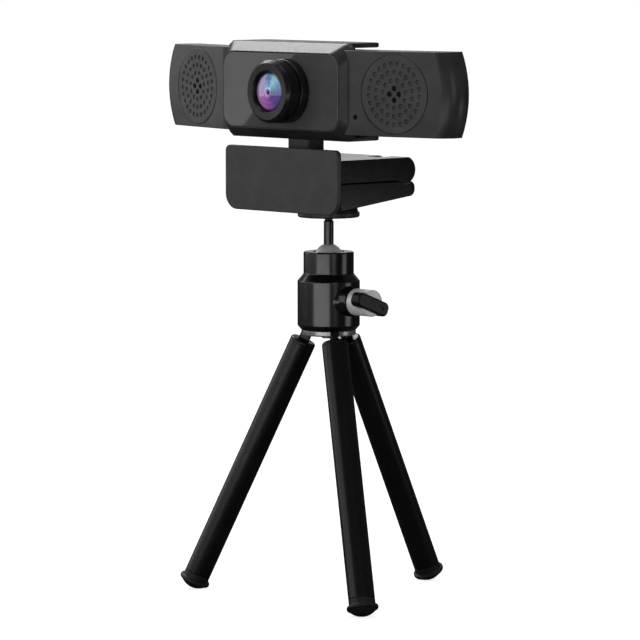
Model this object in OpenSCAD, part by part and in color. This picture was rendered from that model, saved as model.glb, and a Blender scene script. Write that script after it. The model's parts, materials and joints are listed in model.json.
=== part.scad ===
// Desk webcam with a folding monitor clip, screwed onto a small three-legged
// stand with a ball head. Millimetres, +Z up, the camera looks along -Y and the
// feet stand on z = 0. Every module works about the stand's own upright axis;
// on_stand() then moves that axis so the whole object is centred on the origin.

/* [Stand legs] */
// Outside diameter of a leg tube
leg_d = 10; // [9:0.5:12]
// Wall of a leg tube
leg_wall = 0.6; // [0.4:0.1:0.9]
// Leg pivot to the centre of the foot's ball end
leg_reach = 106.5; // [85:0.5:130]
// Angle of an open leg from the vertical
leg_splay = 25; // [18:1:30]
// Radius of the circle that the leg pivots lie on
pivot_circle_r = 7.4; // [7:0.1:9]
// Pivot down to the top of the leg plug
shoulder_drop = 5.85; // [5.2:0.05:8]
// Visible height of the leg plug above the tube
plug_rim_h = 1.5; // [1:0.1:3]
// Width of the plug's flat tang
tang_w = 4; // [3.6:0.1:5]
// Thickness of the plug's flat tang
tang_t = 2.6; // [2:0.1:3.4]
// Diameter of a leg pivot pin
pivot_pin_d = 2; // [1.6:0.1:2.4]
// Outside diameter of the inner, sliding tube
inner_tube_d = 7.8; // [7:0.1:8]
// Wall of the inner tube
inner_tube_wall = 0.5; // [0.4:0.1:0.8]
// Length of the guide sleeve at the mouth of the leg tube
sleeve_l = 10; // [6:0.5:15]
// How far a leg pulls out
leg_travel = 70; // [40:1:75]

/* [Feet] */
// Diameter of the flared rim of a foot
foot_rim_d = 11.9; // [11.2:0.1:14]
// Height of the flared rim
foot_rim_h = 1.6; // [1.2:0.1:2.4]
// Height of the plain collar above the rim
foot_collar_h = 2.4; // [1.5:0.1:5]
// Radius of the ball end that meets the ground
foot_ball_r = 7; // [6.5:0.1:9]
// Depth of the flat worn on the ball end
foot_flat = 0.25; // [0.15:0.05:0.4]

/* [Ball head] */
// Diameter of the lower part of the head
head_low_d = 23.8; // [23:0.2:28]
// Diameter of the upper part of the head
head_top_d = 19.2; // [17:0.2:21]
// Height of the head above the retaining ring
head_h = 29.9; // [29:0.1:36]
// Height of the narrow upper part, down to the start of the cone
head_neck_h = 8.4; // [6:0.1:11]
// Height of the cone between the two diameters
head_cone_h = 2.7; // [1.5:0.1:4]
// Ball diameter
ball_d = 11; // [10:0.2:12]
// Ball centre below the top of the head
ball_depth = 2.5; // [2.2:0.1:3]
// Diameter of the stem above the ball
stem_d = 3.8; // [3.2:0.1:4.4]
// Length of stem above the head
stem_h = 11.2; // [9:0.1:16]
// Diameter of the retaining ring under the head
ring_d = 20.8; // [20:0.2:22.6]
// Thickness of the retaining ring
ring_t = 2; // [1.5:0.1:2.6]

/* [Clamp screw] */
// Clamp screw axis above the retaining ring
clamp_up = 11.5; // [10.5:0.1:12.5]
// Diameter of the clamp knob
clamp_knob_d = 10.2; // [9:0.1:12]
// Stand axis to the end face of the knob
clamp_reach = 24.3; // [22:0.1:28]
// Length of the thumb lever
lever_l = 16.5; // [13:0.5:22]
// Height of the thumb lever
lever_h = 5.5; // [4.5:0.1:7]
// Thickness of the thumb lever
lever_t = 4.7; // [3.5:0.1:6]
// Tilt of the thumb lever about the screw
lever_tilt = -21; // [-60:1:60]

/* [Mounting plate] */
// Diameter of the mounting plate
mount_d = 23.6; // [20:0.2:28]
// Thickness of the mounting plate
mount_t = 2; // [1.6:0.1:3]
// Major diameter of the camera screw
camera_screw_d = 6; // [5.8:0.05:6.35]
// Length of camera screw above the pad
camera_screw_l = 5; // [4:0.1:5.5]
// Thickness of the rubber pad on the plate
pad_t = 0.8; // [0.6:0.1:1.2]

/* [Monitor clip] */
// Width of the clip's front plate
clip_w = 62; // [56:0.5:64]
// Height of the clip's front plate
clip_h = 24.4; // [24:0.1:28]
// Thickness of the clip's front plate
clip_t = 2.2; // [1.8:0.1:3]
// Bottom corner radius of the front plate
clip_low_r = 6; // [3:0.5:8]
// Top corner radius of the front plate
clip_top_r = 2.2; // [1:0.1:4]
// Stand axis forward to the face of the front plate
clip_front = 25; // [23:0.1:26]
// Stand axis back to the end of the folded clip
clip_back = 17.5; // [16.5:0.1:20]
// Width of the two leaves behind the front plate
leaf_w = 58.8; // [52:0.2:59.4]
// Thickness of the upper leaf
upper_leaf_t = 8.6; // [8:0.1:9.2]
// Thickness of the lower leaf at the front
lower_leaf_t = 10; // [9.8:0.1:11]
// How far the lower leaf thins towards the back
lower_leaf_rise = 4.2; // [3:0.1:4.6]
// Front plate's top edge above the upper leaf
clip_lip = 4; // [3.4:0.1:4.6]
// Diameter of the rear hinge barrel
clip_barrel_d = 10.2; // [9.4:0.1:10.8]
// Diameter of the rear hinge pin
clip_pin_d = 2.5; // [2:0.1:3]

/* [Swivel neck] */
// Neck centre forward of the stand axis
neck_front = 11.8; // [11:0.1:12.6]
// Diameter of the neck's swivel disc
swivel_d = 18; // [16:0.2:19]
// Width of the neck post
neck_w = 12; // [10:0.2:13]
// Depth of the neck post
neck_deep = 8; // [7:0.1:9]
// Tilt pin above the upper leaf
tilt_pin_up = 11.8; // [11.5:0.1:12.6]
// Diameter of the tilt pin
tilt_pin_d = 2.4; // [2:0.1:3]

/* [Camera body] */
// Whole width of the camera bar
bar_w = 158.8; // [140:0.2:192]
// Height of the camera bar
bar_h = 31.5; // [30.5:0.1:36]
// Depth of the camera bar
bar_deep = 13; // [12.5:0.1:17]
// Backward sweep of each wing
wing_sweep = 11.5; // [6:0.5:14]
// Plan radius at the end of a wing
wing_end_r = 7.6; // [5:0.1:9]
// Bulge of the wing's end
wing_bulge = 3.5; // [2:0.1:5]
// Width of the deeper housing behind the middle of the bar
hump_w = 46; // [40:0.5:60]
// How far that housing stands out of the bar's back
hump_deep = 6.5; // [5.5:0.1:8]
// Wall of the plastic shells
shell_wall = 1.6; // [1.2:0.1:2]
// Width of the centre block at its back
block_w = 70; // [68:0.5:74]
// Height of the centre block at its back
block_h = 36.5; // [36:0.1:40]
// Depth of the centre block's tapered front
block_taper = 5.6; // [4:0.1:7]
// Depth of the block's top and bottom plates
block_deep = 18; // [16:0.5:22]
// Thickness of the block's top and bottom plates
block_plate_t = 1.8; // [1.4:0.1:2.2]
// Width of the front panel
panel_w = 63; // [58:0.5:64]
// Height of the front panel
panel_h = 28.3; // [27:0.1:29]
// Thickness of the front panel
panel_t = 1.2; // [0.8:0.1:1.6]
// Corner radius of the front panel
panel_r = 4.2; // [2:0.1:6]
// Stand axis forward to the face of the front panel
panel_front = 25.3; // [25:0.1:26]
// Block's underside above the upper leaf
block_gap = 7.1; // [6.8:0.1:8]

/* [Grilles] */
// Diameter of a microphone grille
grille_d = 29.2; // [24:0.2:30]
// Thickness of a microphone grille
grille_t = 1.4; // [1:0.1:1.8]
// Distance of a grille's centre from the middle, along X
grille_x = 54.2; // [50:0.1:60]
// Diameter of a grille dimple
dimple_d = 1.5; // [1:0.1:1.8]
// Depth of a grille dimple
dimple_deep = 0.7; // [0.3:0.1:0.9]

/* [Lens] */
// Lens axis sideways from the middle
lens_x = 4; // [0:0.1:6]
// Diameter of the lens barrel
lens_d = 24; // [20:0.2:25]
// How far the lens stands out of the panel
lens_out = 10.5; // [8:0.1:14]
// Diameter of the front glass
glass_d = 15.2; // [10:0.1:16]
// Length of the fixed base of the barrel
lens_base_l = 3.6; // [3:0.1:5]

/* [Hidden] */
$fn = 72;
eps = 0.01;              // overlap that joins two shapes of one solid
fit = 0.05;              // radial running fit of pins, screws and slides
gap = 0.3;               // clearance between pieces that move past each other
seam = 0.1;              // hairline between pieces that only sit together

// --- heights up the stand
pivot_pin_r = pivot_pin_d / 2;
leg_r = leg_d / 2;
pivot_z = foot_ball_r - foot_flat + leg_reach * cos(leg_splay);
ring_top = pivot_z - pivot_pin_r - 0.2;
ring_low = ring_top - ring_t;
head_top = ring_top + head_h;
hub_r = 9;
hub_h = 7.6;
tang_top_r = tang_w / 2 + 0.8;
pocket_roof = pivot_z + tang_top_r + 0.2;
heel_h = (pocket_roof - pivot_z - seam - tang_w / 2 * sin(leg_splay)) / cos(leg_splay);
ball_r = ball_d / 2;
ball_z = head_top - ball_depth;
clamp_z = ring_top + clamp_up;
mount_low = head_top + stem_h + 1.9;
mount_top = mount_low + mount_t;
pad_top = mount_top + pad_t;

// --- one leg, measured along its own axis from the pivot
LEG_ANGLES = [210, -30, 90];
tube_start = shoulder_drop + plug_rim_h;
foot_cap_r = foot_rim_d / 2 - 0.75;
foot_rim_low = leg_reach + sqrt(foot_ball_r * foot_ball_r - foot_cap_r * foot_cap_r);
foot_top = foot_rim_low - foot_rim_h - foot_collar_h;
tube_end = foot_top - seam;
inner_r = inner_tube_d / 2;
bore_r = leg_r - leg_wall;
slide_stop_l = 6;
slide_stop_end = tube_end - sleeve_l - leg_travel - 1;

// --- monitor clip
boss_r = mount_d / 2 - 0.8;
boss_h = 1.6;
leaf_low = pad_top + boss_h;
leaf_split = leaf_low + lower_leaf_t;
upper_low = leaf_split + gap;
upper_top = upper_low + upper_leaf_t;
clip_top = upper_top + clip_lip;
clip_low = clip_top - clip_h;
clip_barrel_r = clip_barrel_d / 2;
clip_pin_r = clip_pin_d / 2;
clip_pin_y = clip_back - clip_barrel_r;
clip_pin_z = upper_top - clip_barrel_r + 0.4;
ear_w = 6;
ear_x = 17;
insert_r = camera_screw_d / 2 + 1.6;
insert_h = camera_screw_l + 0.8;

// --- neck and camera
neck_y = -neck_front;
tilt_z = upper_top + tilt_pin_up;
block_low = upper_top + block_gap;
block_top = block_low + block_h;
lens_z = (block_low + block_top) / 2;
bar_low = lens_z - bar_h / 2;
bar_top = lens_z + bar_h / 2;
panel_y = -panel_front;
block_y = panel_y + block_taper;
bar_y = block_y - 2.6;
bar_back = bar_y + bar_deep;
bar_split = bar_y + 7;
root_x = block_w / 2;
wing_u = wing_end_r + (bar_w / 2 - root_x - wing_end_r * (1 - sin(wing_sweep))) / cos(wing_sweep);
bulge_r = (bar_h * bar_h / 4 + wing_bulge * wing_bulge) / (2 * wing_bulge);
lens_r = lens_d / 2;
lens_front_y = panel_y - lens_out;
glass_r = glass_d / 2;
grille_r = grille_d / 2;
led_x = root_x + 2.2;
led_z = bar_low + 6.9;
led_r = 0.65;
knuckle_r = 3.6;
hump_drop = 2.8;          // the housing's top below the bar's top
hump_r = 3;
screw_x = 16;

// --- the stand axis sits this far from the origin, so the box is centred
rear_foot_y = pivot_circle_r + foot_rim_low * sin(leg_splay) + foot_rim_d / 2 * cos(leg_splay);
stand_y = (-lens_front_y - rear_foot_y) / 2;

// ---------------------------------------------------------------- placing
module on_stand() {
    translate([0, stand_y, 0]) children();
}

// A leg's own frame: pivot at the origin, the leg runs down -Z, +X points outward.
module on_leg(i) {
    on_stand() rotate([0, 0, LEG_ANGLES[i]]) translate([pivot_circle_r, 0, pivot_z])
        rotate([0, -leg_splay, 0]) children();
}

// The camera's frame: lens height at z = 0, so shapes are symmetrical in height.
module on_camera() {
    on_stand() translate([0, 0, lens_z]) children();
}

// The right wing's front face at its root: local x along the wing, y into its depth.
module on_wing(side) {
    on_camera() mirror([side < 0 ? 1 : 0, 0, 0]) translate([root_x, bar_y, 0])
        rotate([0, 0, wing_sweep]) children();
}

module rod_x(r, x0, x1) {
    translate([x0, 0, 0]) rotate([0, 90, 0]) cylinder(r = r, h = x1 - x0);
}

module rod_y(r, y0, y1) {
    translate([0, y1, 0]) rotate([90, 0, 0]) cylinder(r = r, h = y1 - y0);
}

module tube(r_out, r_in, z0, z1) {
    translate([0, 0, z0]) difference() {
        cylinder(r = r_out, h = z1 - z0);
        translate([0, 0, -1]) cylinder(r = r_in, h = z1 - z0 + 2);
    }
}

// A box from one corner to the opposite one.
module block(low, high) {
    translate(low) cube(high - low);
}

// A flat outline drawn in X and Z, thickened from y0 back to y1.
module upright(y0, y1) {
    translate([0, y1, 0]) rotate([90, 0, 0]) linear_extrude(y1 - y0) children();
}

module rounded(w, h, r) {
    square([w - 2 * r, h], center = true);
    square([w, h - 2 * r], center = true);
    for (sx = [-1, 1], sz = [-1, 1])
        translate([sx * (w / 2 - r), sz * (h / 2 - r)]) circle(r = r);
}

// ---------------------------------------------------------------- ball head
module leg_slots(r_out, z0, z1) {
    for (a = LEG_ANGLES) rotate([0, 0, a])
        block([pivot_circle_r - tang_top_r - gap, -tang_t / 2 - gap, z0], [r_out, tang_t / 2 + gap, z1]);
}

module head_outline() {
    low_r = head_low_d / 2;
    top_r = head_top_d / 2;
    polygon([
        [0, ring_top], [low_r - 1.3, ring_top], [low_r, ring_top + 1.5],
        [low_r, head_top - head_neck_h - head_cone_h], [top_r, head_top - head_neck_h],
        [top_r, head_top - 0.8], [top_r - 0.7, head_top], [0, head_top]
    ]);
}

module head_body() {
    bore = ball_r + 0.4;
    hub_top = ring_top + hub_h;
    color([0.05, 0.05, 0.055]) on_stand() difference() {
        union() {
            rotate_extrude() head_outline();
            // flared boss that the clamp screw runs in
            translate([0, 0, clamp_z]) translate([8, 0, 0]) rotate([0, 90, 0])
                cylinder(r1 = clamp_knob_d / 2 + 2.6, r2 = clamp_knob_d / 2 + 0.2, h = 6.6);
        }
        translate([0, 0, ring_top - 1]) cylinder(r = hub_r + seam, h = hub_h + 1 + seam);
        translate([0, 0, hub_top]) cylinder(r = bore, h = ball_z - hub_top);
        translate([0, 0, ball_z]) sphere(r = ball_r + fit);
        translate([0, 0, head_top - 0.9]) cylinder(r1 = ball_r - 1, r2 = ball_r + 0.6, h = 0.9 + eps);
        translate([0, 0, clamp_z]) rod_x(clamp_screw_r() + fit, 0, 20);
        leg_slots(head_low_d / 2 - 1.3, ring_top - 1, pocket_roof);
    }
}

function clamp_screw_r() = 2.5;

module leg_hub() {
    color("dimgray") on_stand() difference() {
        translate([0, 0, ring_top]) cylinder(r = hub_r, h = hub_h);
        leg_slots(hub_r + 1, ring_top - 1, pocket_roof);
        for (a = LEG_ANGLES) rotate([0, 0, a]) translate([pivot_circle_r, 0, pivot_z]) {
            rotate([90, 0, 0]) cylinder(r = pivot_pin_r + fit / 2, h = pin_half_l() * 2 + 0.2, center = true);
            block([-pivot_pin_r - fit / 2, -pin_half_l() - seam, -4], [pivot_pin_r + fit / 2, pin_half_l() + seam, 0]);
        }
        translate([0, 0, ring_top - 1]) cylinder(r = hub_screw_r() + fit / 2, h = 7.4);
    }
}

function pin_half_l() = 3.3;
function hub_screw_r() = 1.5;

module retaining_ring() {
    color("silver") on_stand() difference() {
        translate([0, 0, ring_low]) cylinder(r = ring_d / 2, h = ring_t);
        leg_slots(ring_d, ring_low - 1, ring_top + 1);
        translate([0, 0, ring_low - 1]) cylinder(r = hub_screw_r() + fit, h = ring_t + 2);
    }
}

module hub_screw() {
    head_r = 2.7;
    color("gainsboro") on_stand() difference() {
        union() {
            translate([0, 0, ring_low - 1.3]) cylinder(r = head_r, h = 1.3);
            translate([0, 0, ring_low - eps]) cylinder(r = hub_screw_r(), h = ring_t + 6);
        }
        translate([-head_r, -0.35, ring_low - 1.4]) cube([2 * head_r, 0.7, 0.7]);
    }
}

module pivot_pins() {
    color("gainsboro") on_stand() for (a = LEG_ANGLES) rotate([0, 0, a])
        translate([pivot_circle_r, 0, pivot_z]) rotate([90, 0, 0])
            cylinder(r = pivot_pin_r, h = 2 * pin_half_l(), center = true);
}

// Brass plug under the ball: the clamp screw's cone lifts it against the ball.
module ball_seat() {
    seat_low = clamp_z + clamp_screw_r() + seam;
    seat_r = ball_r + 0.1;
    color("goldenrod") on_stand() difference() {
        union() {
            translate([0, 0, seat_low + 2]) cylinder(r = seat_r, h = ball_z - 3 - seat_low - 2);
            translate([0, 0, seat_low]) cylinder(r1 = seat_r - 2.4, r2 = seat_r, h = 2 + eps);
        }
        translate([0, 0, ball_z]) sphere(r = ball_r + fit);
    }
}

// ---------------------------------------------------------------- clamp screw
module on_clamp() {
    on_stand() translate([0, 0, clamp_z]) children();
}

module clamp_screw() {
    color("silver") on_clamp() {
        rod_x(clamp_screw_r(), 3, clamp_reach - 2);
        rotate([0, 90, 0]) cylinder(r1 = 0.6, r2 = clamp_screw_r(), h = 3 + eps);
    }
}

module lever_blank(grow) {
    rotate([lever_tilt, 0, 0]) translate([clamp_reach - lever_t / 2 + 1.4, -0.6, -0.6])
        cube([lever_t + 2 * grow, lever_l + 2 * grow, lever_h + 2 * grow], center = true);
}

module clamp_knob() {
    knob_r = clamp_knob_d / 2;
    color("gray") on_clamp() difference() {
        union() {
            rod_x(knob_r, 14.9, clamp_reach - 0.4);
            translate([clamp_reach - 0.4, 0, 0]) rotate([0, 90, 0]) cylinder(r1 = knob_r, r2 = knob_r - 0.4, h = 0.4);
        }
        rod_x(clamp_screw_r() + fit / 2, 10, clamp_reach - 1.9);
        lever_blank(fit);
    }
}

module thumb_lever() {
    end_r = 1.6;
    color([0.04, 0.04, 0.045]) on_clamp() difference() {
        rotate([lever_tilt, 0, 0]) translate([clamp_reach - lever_t + 1.4, -0.6, -0.6]) rotate([0, 90, 0])
            linear_extrude(lever_t) rounded(lever_h, lever_l, end_r);
        rod_x(clamp_screw_r() + fit / 2, 10, clamp_reach - 1.9);
    }
}

// ---------------------------------------------------------------- legs
module leg_plug(i) {
    rim_r = leg_r;
    color([0.05, 0.05, 0.055]) on_leg(i) difference() {
        union() {
            rotate([90, 0, 0]) cylinder(r = tang_top_r, h = tang_t, center = true);
            block([-tang_w / 2, -tang_t / 2, -shoulder_drop - eps], [tang_w / 2, tang_t / 2, 0]);
            block([0, -tang_t / 2, 0], [tang_w / 2, tang_t / 2, heel_h]);
            translate([0, 0, -shoulder_drop - 0.7]) cylinder(r1 = rim_r, r2 = rim_r - 0.9, h = 0.7);
            translate([0, 0, -tube_start]) cylinder(r = rim_r, h = plug_rim_h - 0.7 + eps);
            translate([0, 0, -tube_start - 8]) cylinder(r = bore_r - fit, h = 8 + eps);
        }
        rotate([90, 0, 0]) cylinder(r = pivot_pin_r + fit, h = tang_t + 2, center = true);
    }
}

module leg_tube(i) {
    color([0.04, 0.04, 0.045]) on_leg(i) tube(leg_r, bore_r, -tube_end, -tube_start);
}

module leg_sleeve(i) {
    color("dimgray") on_leg(i) tube(bore_r - fit / 2, inner_r + fit, -tube_end, -tube_end + sleeve_l);
}

module inner_tube(i) {
    color("silver") on_leg(i)
        tube(inner_r, inner_r - inner_tube_wall, -foot_top - 2, -slide_stop_end + slide_stop_l);
}

module slide_stop(i) {
    color("dimgray") on_leg(i)
        tube(bore_r - fit, inner_r, -slide_stop_end, -slide_stop_end + slide_stop_l);
}

module foot(i) {
    rim_r = foot_rim_d / 2;
    round_r = 0.6;
    color([0.03, 0.03, 0.03]) intersection() {
        on_leg(i) difference() {
            union() {
                translate([0, 0, -foot_top - foot_collar_h - eps]) cylinder(r = leg_r, h = foot_collar_h + eps);
                translate([0, 0, -foot_rim_low]) rotate_extrude() {
                    square([rim_r - round_r, foot_rim_h]);
                    translate([0, round_r]) square([rim_r, foot_rim_h - 2 * round_r]);
                    for (z = [round_r, foot_rim_h - round_r]) translate([rim_r - round_r, z]) circle(r = round_r);
                }
                intersection() {
                    translate([0, 0, -leg_reach]) sphere(r = foot_ball_r);
                    translate([0, 0, -leg_reach - foot_ball_r - 1])
                        cylinder(r = foot_cap_r + 1, h = leg_reach + foot_ball_r + 1 - foot_rim_low + eps);
                }
            }
            translate([0, 0, -foot_top - 2 - seam]) tube(inner_r + seam / 2, inner_r - inner_tube_wall - seam / 2, 0, 4);
        }
        translate([-200, -200, 0]) cube([400, 400, 60]);
    }
}

// ---------------------------------------------------------------- ball and plate
module ball_stem() {
    stem_r = stem_d / 2;
    stem_top = head_top + stem_h;
    color("slategray") on_stand() {
        translate([0, 0, ball_z]) sphere(r = ball_r);
        translate([0, 0, ball_z]) cylinder(r = stem_r, h = stem_top - 0.6 - ball_z);
        translate([0, 0, stem_top - 0.6 - eps]) cylinder(r1 = stem_r, r2 = stem_r - 0.6, h = 0.6 + eps);
        translate([0, 0, stem_top - eps]) cylinder(r = stem_r - 0.6, h = mount_low - stem_top + eps);
    }
}

module mounting_plate() {
    hub_top_r = 2.85;
    edge = 0.4;
    color([0.06, 0.06, 0.065]) on_stand() difference() {
        union() {
            translate([0, 0, mount_low - 0.95]) cylinder(r1 = 1.6, r2 = hub_top_r, h = 0.95 + eps);
            translate([0, 0, mount_low]) cylinder(r1 = mount_d / 2 - edge, r2 = mount_d / 2, h = edge + eps);
            translate([0, 0, mount_low + edge]) cylinder(r = mount_d / 2, h = mount_t - edge);
        }
        translate([0, 0, mount_low - 2]) cylinder(r = stem_d / 2 - 0.6 + fit / 2, h = 2);
        translate([0, 0, mount_low - 1 + 1.4]) cylinder(r = camera_screw_d / 2 + fit / 2, h = mount_t);
    }
}

module mounting_pad() {
    color("black") on_stand()
        tube(mount_d / 2 - 0.6, camera_screw_d / 2 + seam, mount_top, pad_top);
}

module camera_screw() {
    color("silver") on_stand() translate([0, 0, mount_low + 0.4]) {
        cylinder(r = camera_screw_d / 2, h = pad_top + camera_screw_l - mount_low - 0.9);
        translate([0, 0, pad_top + camera_screw_l - mount_low - 0.9 - eps])
            cylinder(r1 = camera_screw_d / 2, r2 = camera_screw_d / 2 - 0.5, h = 0.5);
    }
}

// ---------------------------------------------------------------- monitor clip
// Side view of the lower leaf, in Y and Z: flat on top, thinning to a round back.
module lower_leaf_side() {
    nose = 2.8;
    y_front = -clip_front + clip_t + pad_t + gap;
    back_low = leaf_low + lower_leaf_rise;
    polygon([
        [y_front, leaf_low + 1], [y_front + 1, leaf_low], [clip_back - nose - 0.5, back_low],
        [clip_back - nose - 0.5, leaf_split], [y_front, leaf_split]
    ]);
    translate([clip_back - nose - 0.5, (back_low + leaf_split) / 2]) circle(d = leaf_split - back_low);
}

// A side-view outline in Y and Z, thickened along X from x0 to x1.
module sideways(x0, x1) {
    translate([x0, 0, 0]) rotate([90, 0, 90]) linear_extrude(x1 - x0) children();
}

module lower_leaf() {
    color([0.05, 0.05, 0.05]) on_stand() difference() {
        union() {
            difference() {
                sideways(-leaf_w / 2, leaf_w / 2) lower_leaf_side();
                translate([0, clip_pin_y, clip_pin_z]) rod_x(clip_barrel_r + gap, -leaf_w, leaf_w);
            }
            translate([0, 0, pad_top]) cylinder(r = boss_r, h = boss_h + 3.4);
            for (side = [-1, 1]) {
                translate([0, clip_pin_y, clip_pin_z])
                    rod_x(clip_barrel_r - 0.6, side * ear_x - ear_w / 2, side * ear_x + ear_w / 2);
                block([side * ear_x - ear_w / 2, clip_pin_y - 2.6, leaf_split - 4],
                      [side * ear_x + ear_w / 2, clip_pin_y + 2.6, clip_pin_z]);
            }
        }
        translate([0, 0, pad_top - 1]) cylinder(r = insert_r + fit / 2, h = insert_h + 1);
        translate([0, clip_pin_y, clip_pin_z]) rod_x(clip_pin_r + fit / 2, -leaf_w, leaf_w);
    }
}

module thread_insert() {
    color("goldenrod") on_stand() difference() {
        translate([0, 0, pad_top]) cylinder(r = insert_r, h = insert_h);
        translate([0, 0, pad_top - 1]) cylinder(r = camera_screw_d / 2 + fit / 2, h = camera_screw_l + 1 + seam);
    }
}

module clip_hinge_pin() {
    color("silver") on_stand() translate([0, clip_pin_y, clip_pin_z])
        rod_x(clip_pin_r, -ear_x - ear_w / 2 - 6, ear_x + ear_w / 2 + 6);
}

module clip_plate_outline() {
    low = clip_low + clip_low_r;
    high = clip_top - clip_top_r;
    x_low = clip_w / 2 - clip_low_r;
    x_high = clip_w / 2 - clip_top_r;
    translate([-clip_w / 2, low]) square([clip_w, high - low]);
    translate([-x_low, clip_low]) square([2 * x_low, clip_low_r + eps]);
    translate([-x_high, high - eps]) square([2 * x_high, clip_top_r + eps]);
    for (side = [-1, 1]) {
        translate([side * x_low, low]) circle(r = clip_low_r);
        translate([side * x_high, high]) circle(r = clip_top_r);
    }
}

module upper_leaf() {
    swivel_r = swivel_d / 2;
    color([0.09, 0.09, 0.095]) on_stand() difference() {
        union() {
            upright(-clip_front, -clip_front + clip_t) clip_plate_outline();
            block([-leaf_w / 2, -clip_front + clip_t - eps, upper_low], [leaf_w / 2, clip_pin_y, upper_top]);
            translate([0, clip_pin_y, clip_pin_z]) rod_x(clip_barrel_r, -leaf_w / 2, leaf_w / 2);
        }
        for (side = [-1, 1]) {
            x0 = side * ear_x - ear_w / 2 - gap;
            block([x0, clip_pin_y - clip_barrel_r - gap, clip_pin_z - clip_barrel_r - 1],
                  [x0 + ear_w + 2 * gap, clip_back + 1, clip_top]);
        }
        translate([0, clip_pin_y, clip_pin_z])
            rod_x(clip_pin_r + fit, -ear_x - ear_w / 2 - 6.2, ear_x + ear_w / 2 + 6.2);
        translate([0, neck_y, upper_top - 1]) cylinder(r = swivel_r + fit, h = 2);
        translate([0, neck_y, upper_low - 1]) cylinder(r = 2 + fit, h = upper_leaf_t + 2);
        translate([0, neck_y, upper_low - 1]) cylinder(r = 4 + seam, h = 1 + 2.2);
    }
}

// Rubber pad on the back of the front plate, which bears on the monitor.
module clip_pad() {
    half_w = clip_w / 2 - clip_low_r;
    color("black") on_stand() block([-half_w, -clip_front + clip_t, clip_low + 2],
        [half_w, -clip_front + clip_t + pad_t, upper_low - 1]);
}

// Shoulder screw that holds the swivel disc down on the upper leaf.
module swivel_screw() {
    color("silver") on_stand() translate([0, neck_y, 0]) {
        translate([0, 0, upper_low]) cylinder(r = 4, h = 2);
        translate([0, 0, upper_low + 2 - eps]) cylinder(r = 2, h = upper_leaf_t - 2 + 2.8);
    }
}

// ---------------------------------------------------------------- neck
module neck() {
    swivel_r = swivel_d / 2;
    disc_top = upper_top + 1.6;
    color([0.05, 0.05, 0.055]) on_stand() translate([0, neck_y, 0]) difference() {
        union() {
            translate([0, 0, upper_top - 1 + seam]) cylinder(r = swivel_r, h = disc_top - upper_top + 1 - seam);
            block([-neck_w / 2, -neck_deep / 2, disc_top - eps], [neck_w / 2, neck_deep / 2, tilt_z - 1]);
            translate([0, 0, tilt_z]) rod_x(knuckle_r, -neck_w / 2, neck_w / 2);
        }
        translate([0, 0, tilt_z]) rod_x(tilt_pin_d / 2 + fit, -neck_w, neck_w);
        translate([0, 0, upper_top - 2]) cylinder(r = 2 + fit, h = 5);
    }
}

module tilt_pin() {
    color("silver") on_stand() translate([0, neck_y, tilt_z])
        rod_x(tilt_pin_d / 2, -neck_w / 2 - 2.4, neck_w / 2 + 2.4);
}

// Metal bracket inside the camera that carries the tilt pin.
module tilt_bracket() {
    x_in = neck_w / 2 + gap;
    t = 1.5;
    arm_top = 9;
    color("gray") on_stand() translate([0, neck_y, tilt_z]) difference() {
        union() {
            for (side = [-1, 1])
                block([side > 0 ? x_in : -x_in - t, -3, -2], [side > 0 ? x_in + t : -x_in, 3, arm_top]);
            block([-x_in - t, -3, arm_top - t], [x_in + t, 3, arm_top]);
        }
        rod_x(tilt_pin_d / 2 + fit / 2, -neck_w, neck_w);
    }
}

// ---------------------------------------------------------------- camera shells
// Plan of the right wing, set in by a wall: a swept slab with a round end.
module wing_plan(inset) {
    end_arc = [for (a = [-90 : 6 : 0])
        [wing_u - inset, 0] + (wing_end_r - inset) * [cos(a), sin(a) + 1] - [wing_end_r - inset, -inset]];
    back_r = bar_deep - wing_end_r;
    back_arc = [for (a = [0 : 6 : 90])
        [wing_u - inset, bar_deep - inset] + (back_r - inset) * [cos(a) - 1, sin(a) - 1]];
    translate([root_x, bar_y]) rotate(wing_sweep)
        polygon(concat([[0, inset]], end_arc, back_arc, [[-2.5, bar_deep - inset], [-2.5, bar_deep - 3]]));
}

module bar_plan(inset) {
    translate([-root_x - eps, bar_y + inset]) square([2 * (root_x + eps), bar_deep - 2 * inset]);
    wing_plan(inset);
    mirror([1, 0]) wing_plan(inset);
}

// Front view of the bar: straight long edges and ends that bulge outward.
module bar_front_view(inset) {
    half_h = bar_h / 2 - inset;
    straight = bar_w / 2 - wing_bulge - inset;
    square([2 * straight, 2 * half_h], center = true);
    for (side = [-1, 1]) intersection() {
        translate([side * (bar_w / 2 - inset - bulge_r), 0]) circle(r = bulge_r, $fn = 180);
        square([bar_w, 2 * half_h], center = true);
    }
}

module bar_solid(inset) {
    intersection() {
        translate([0, 0, -bar_h / 2 + inset]) linear_extrude(bar_h - 2 * inset) bar_plan(inset);
        upright(bar_y - 5, bar_back + 30) bar_front_view(inset);
    }
    // deeper housing behind the middle, for the board and the tilt bracket
    upright(bar_split + 2, bar_back + hump_deep - inset) translate([0, -hump_drop / 2])
        rounded(hump_w - 2 * inset, bar_h - hump_drop - 2 * inset, hump_r - inset);
}

// Plan of the front or the rear side of the swept line that parts the two shells.
module split_side(front) {
    depth = bar_split - bar_y + (front ? -seam / 2 : seam / 2);
    bend = [root_x - depth * tan(wing_sweep / 2), bar_y + depth];
    tip = bend + bar_w * [cos(wing_sweep), sin(wing_sweep)];
    far = front ? -bar_w : bar_w;
    right = [bend, tip, [tip[0], far]];
    polygon(concat(right, [for (i = [2 : -1 : 0]) [-right[i][0], right[i][1]]]));
}

module shell_half(front) {
    intersection() {
        difference() {
            bar_solid(0);
            bar_solid(shell_wall);
        }
        translate([0, 0, -bar_h]) linear_extrude(2 * bar_h) split_side(front);
    }
}

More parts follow.
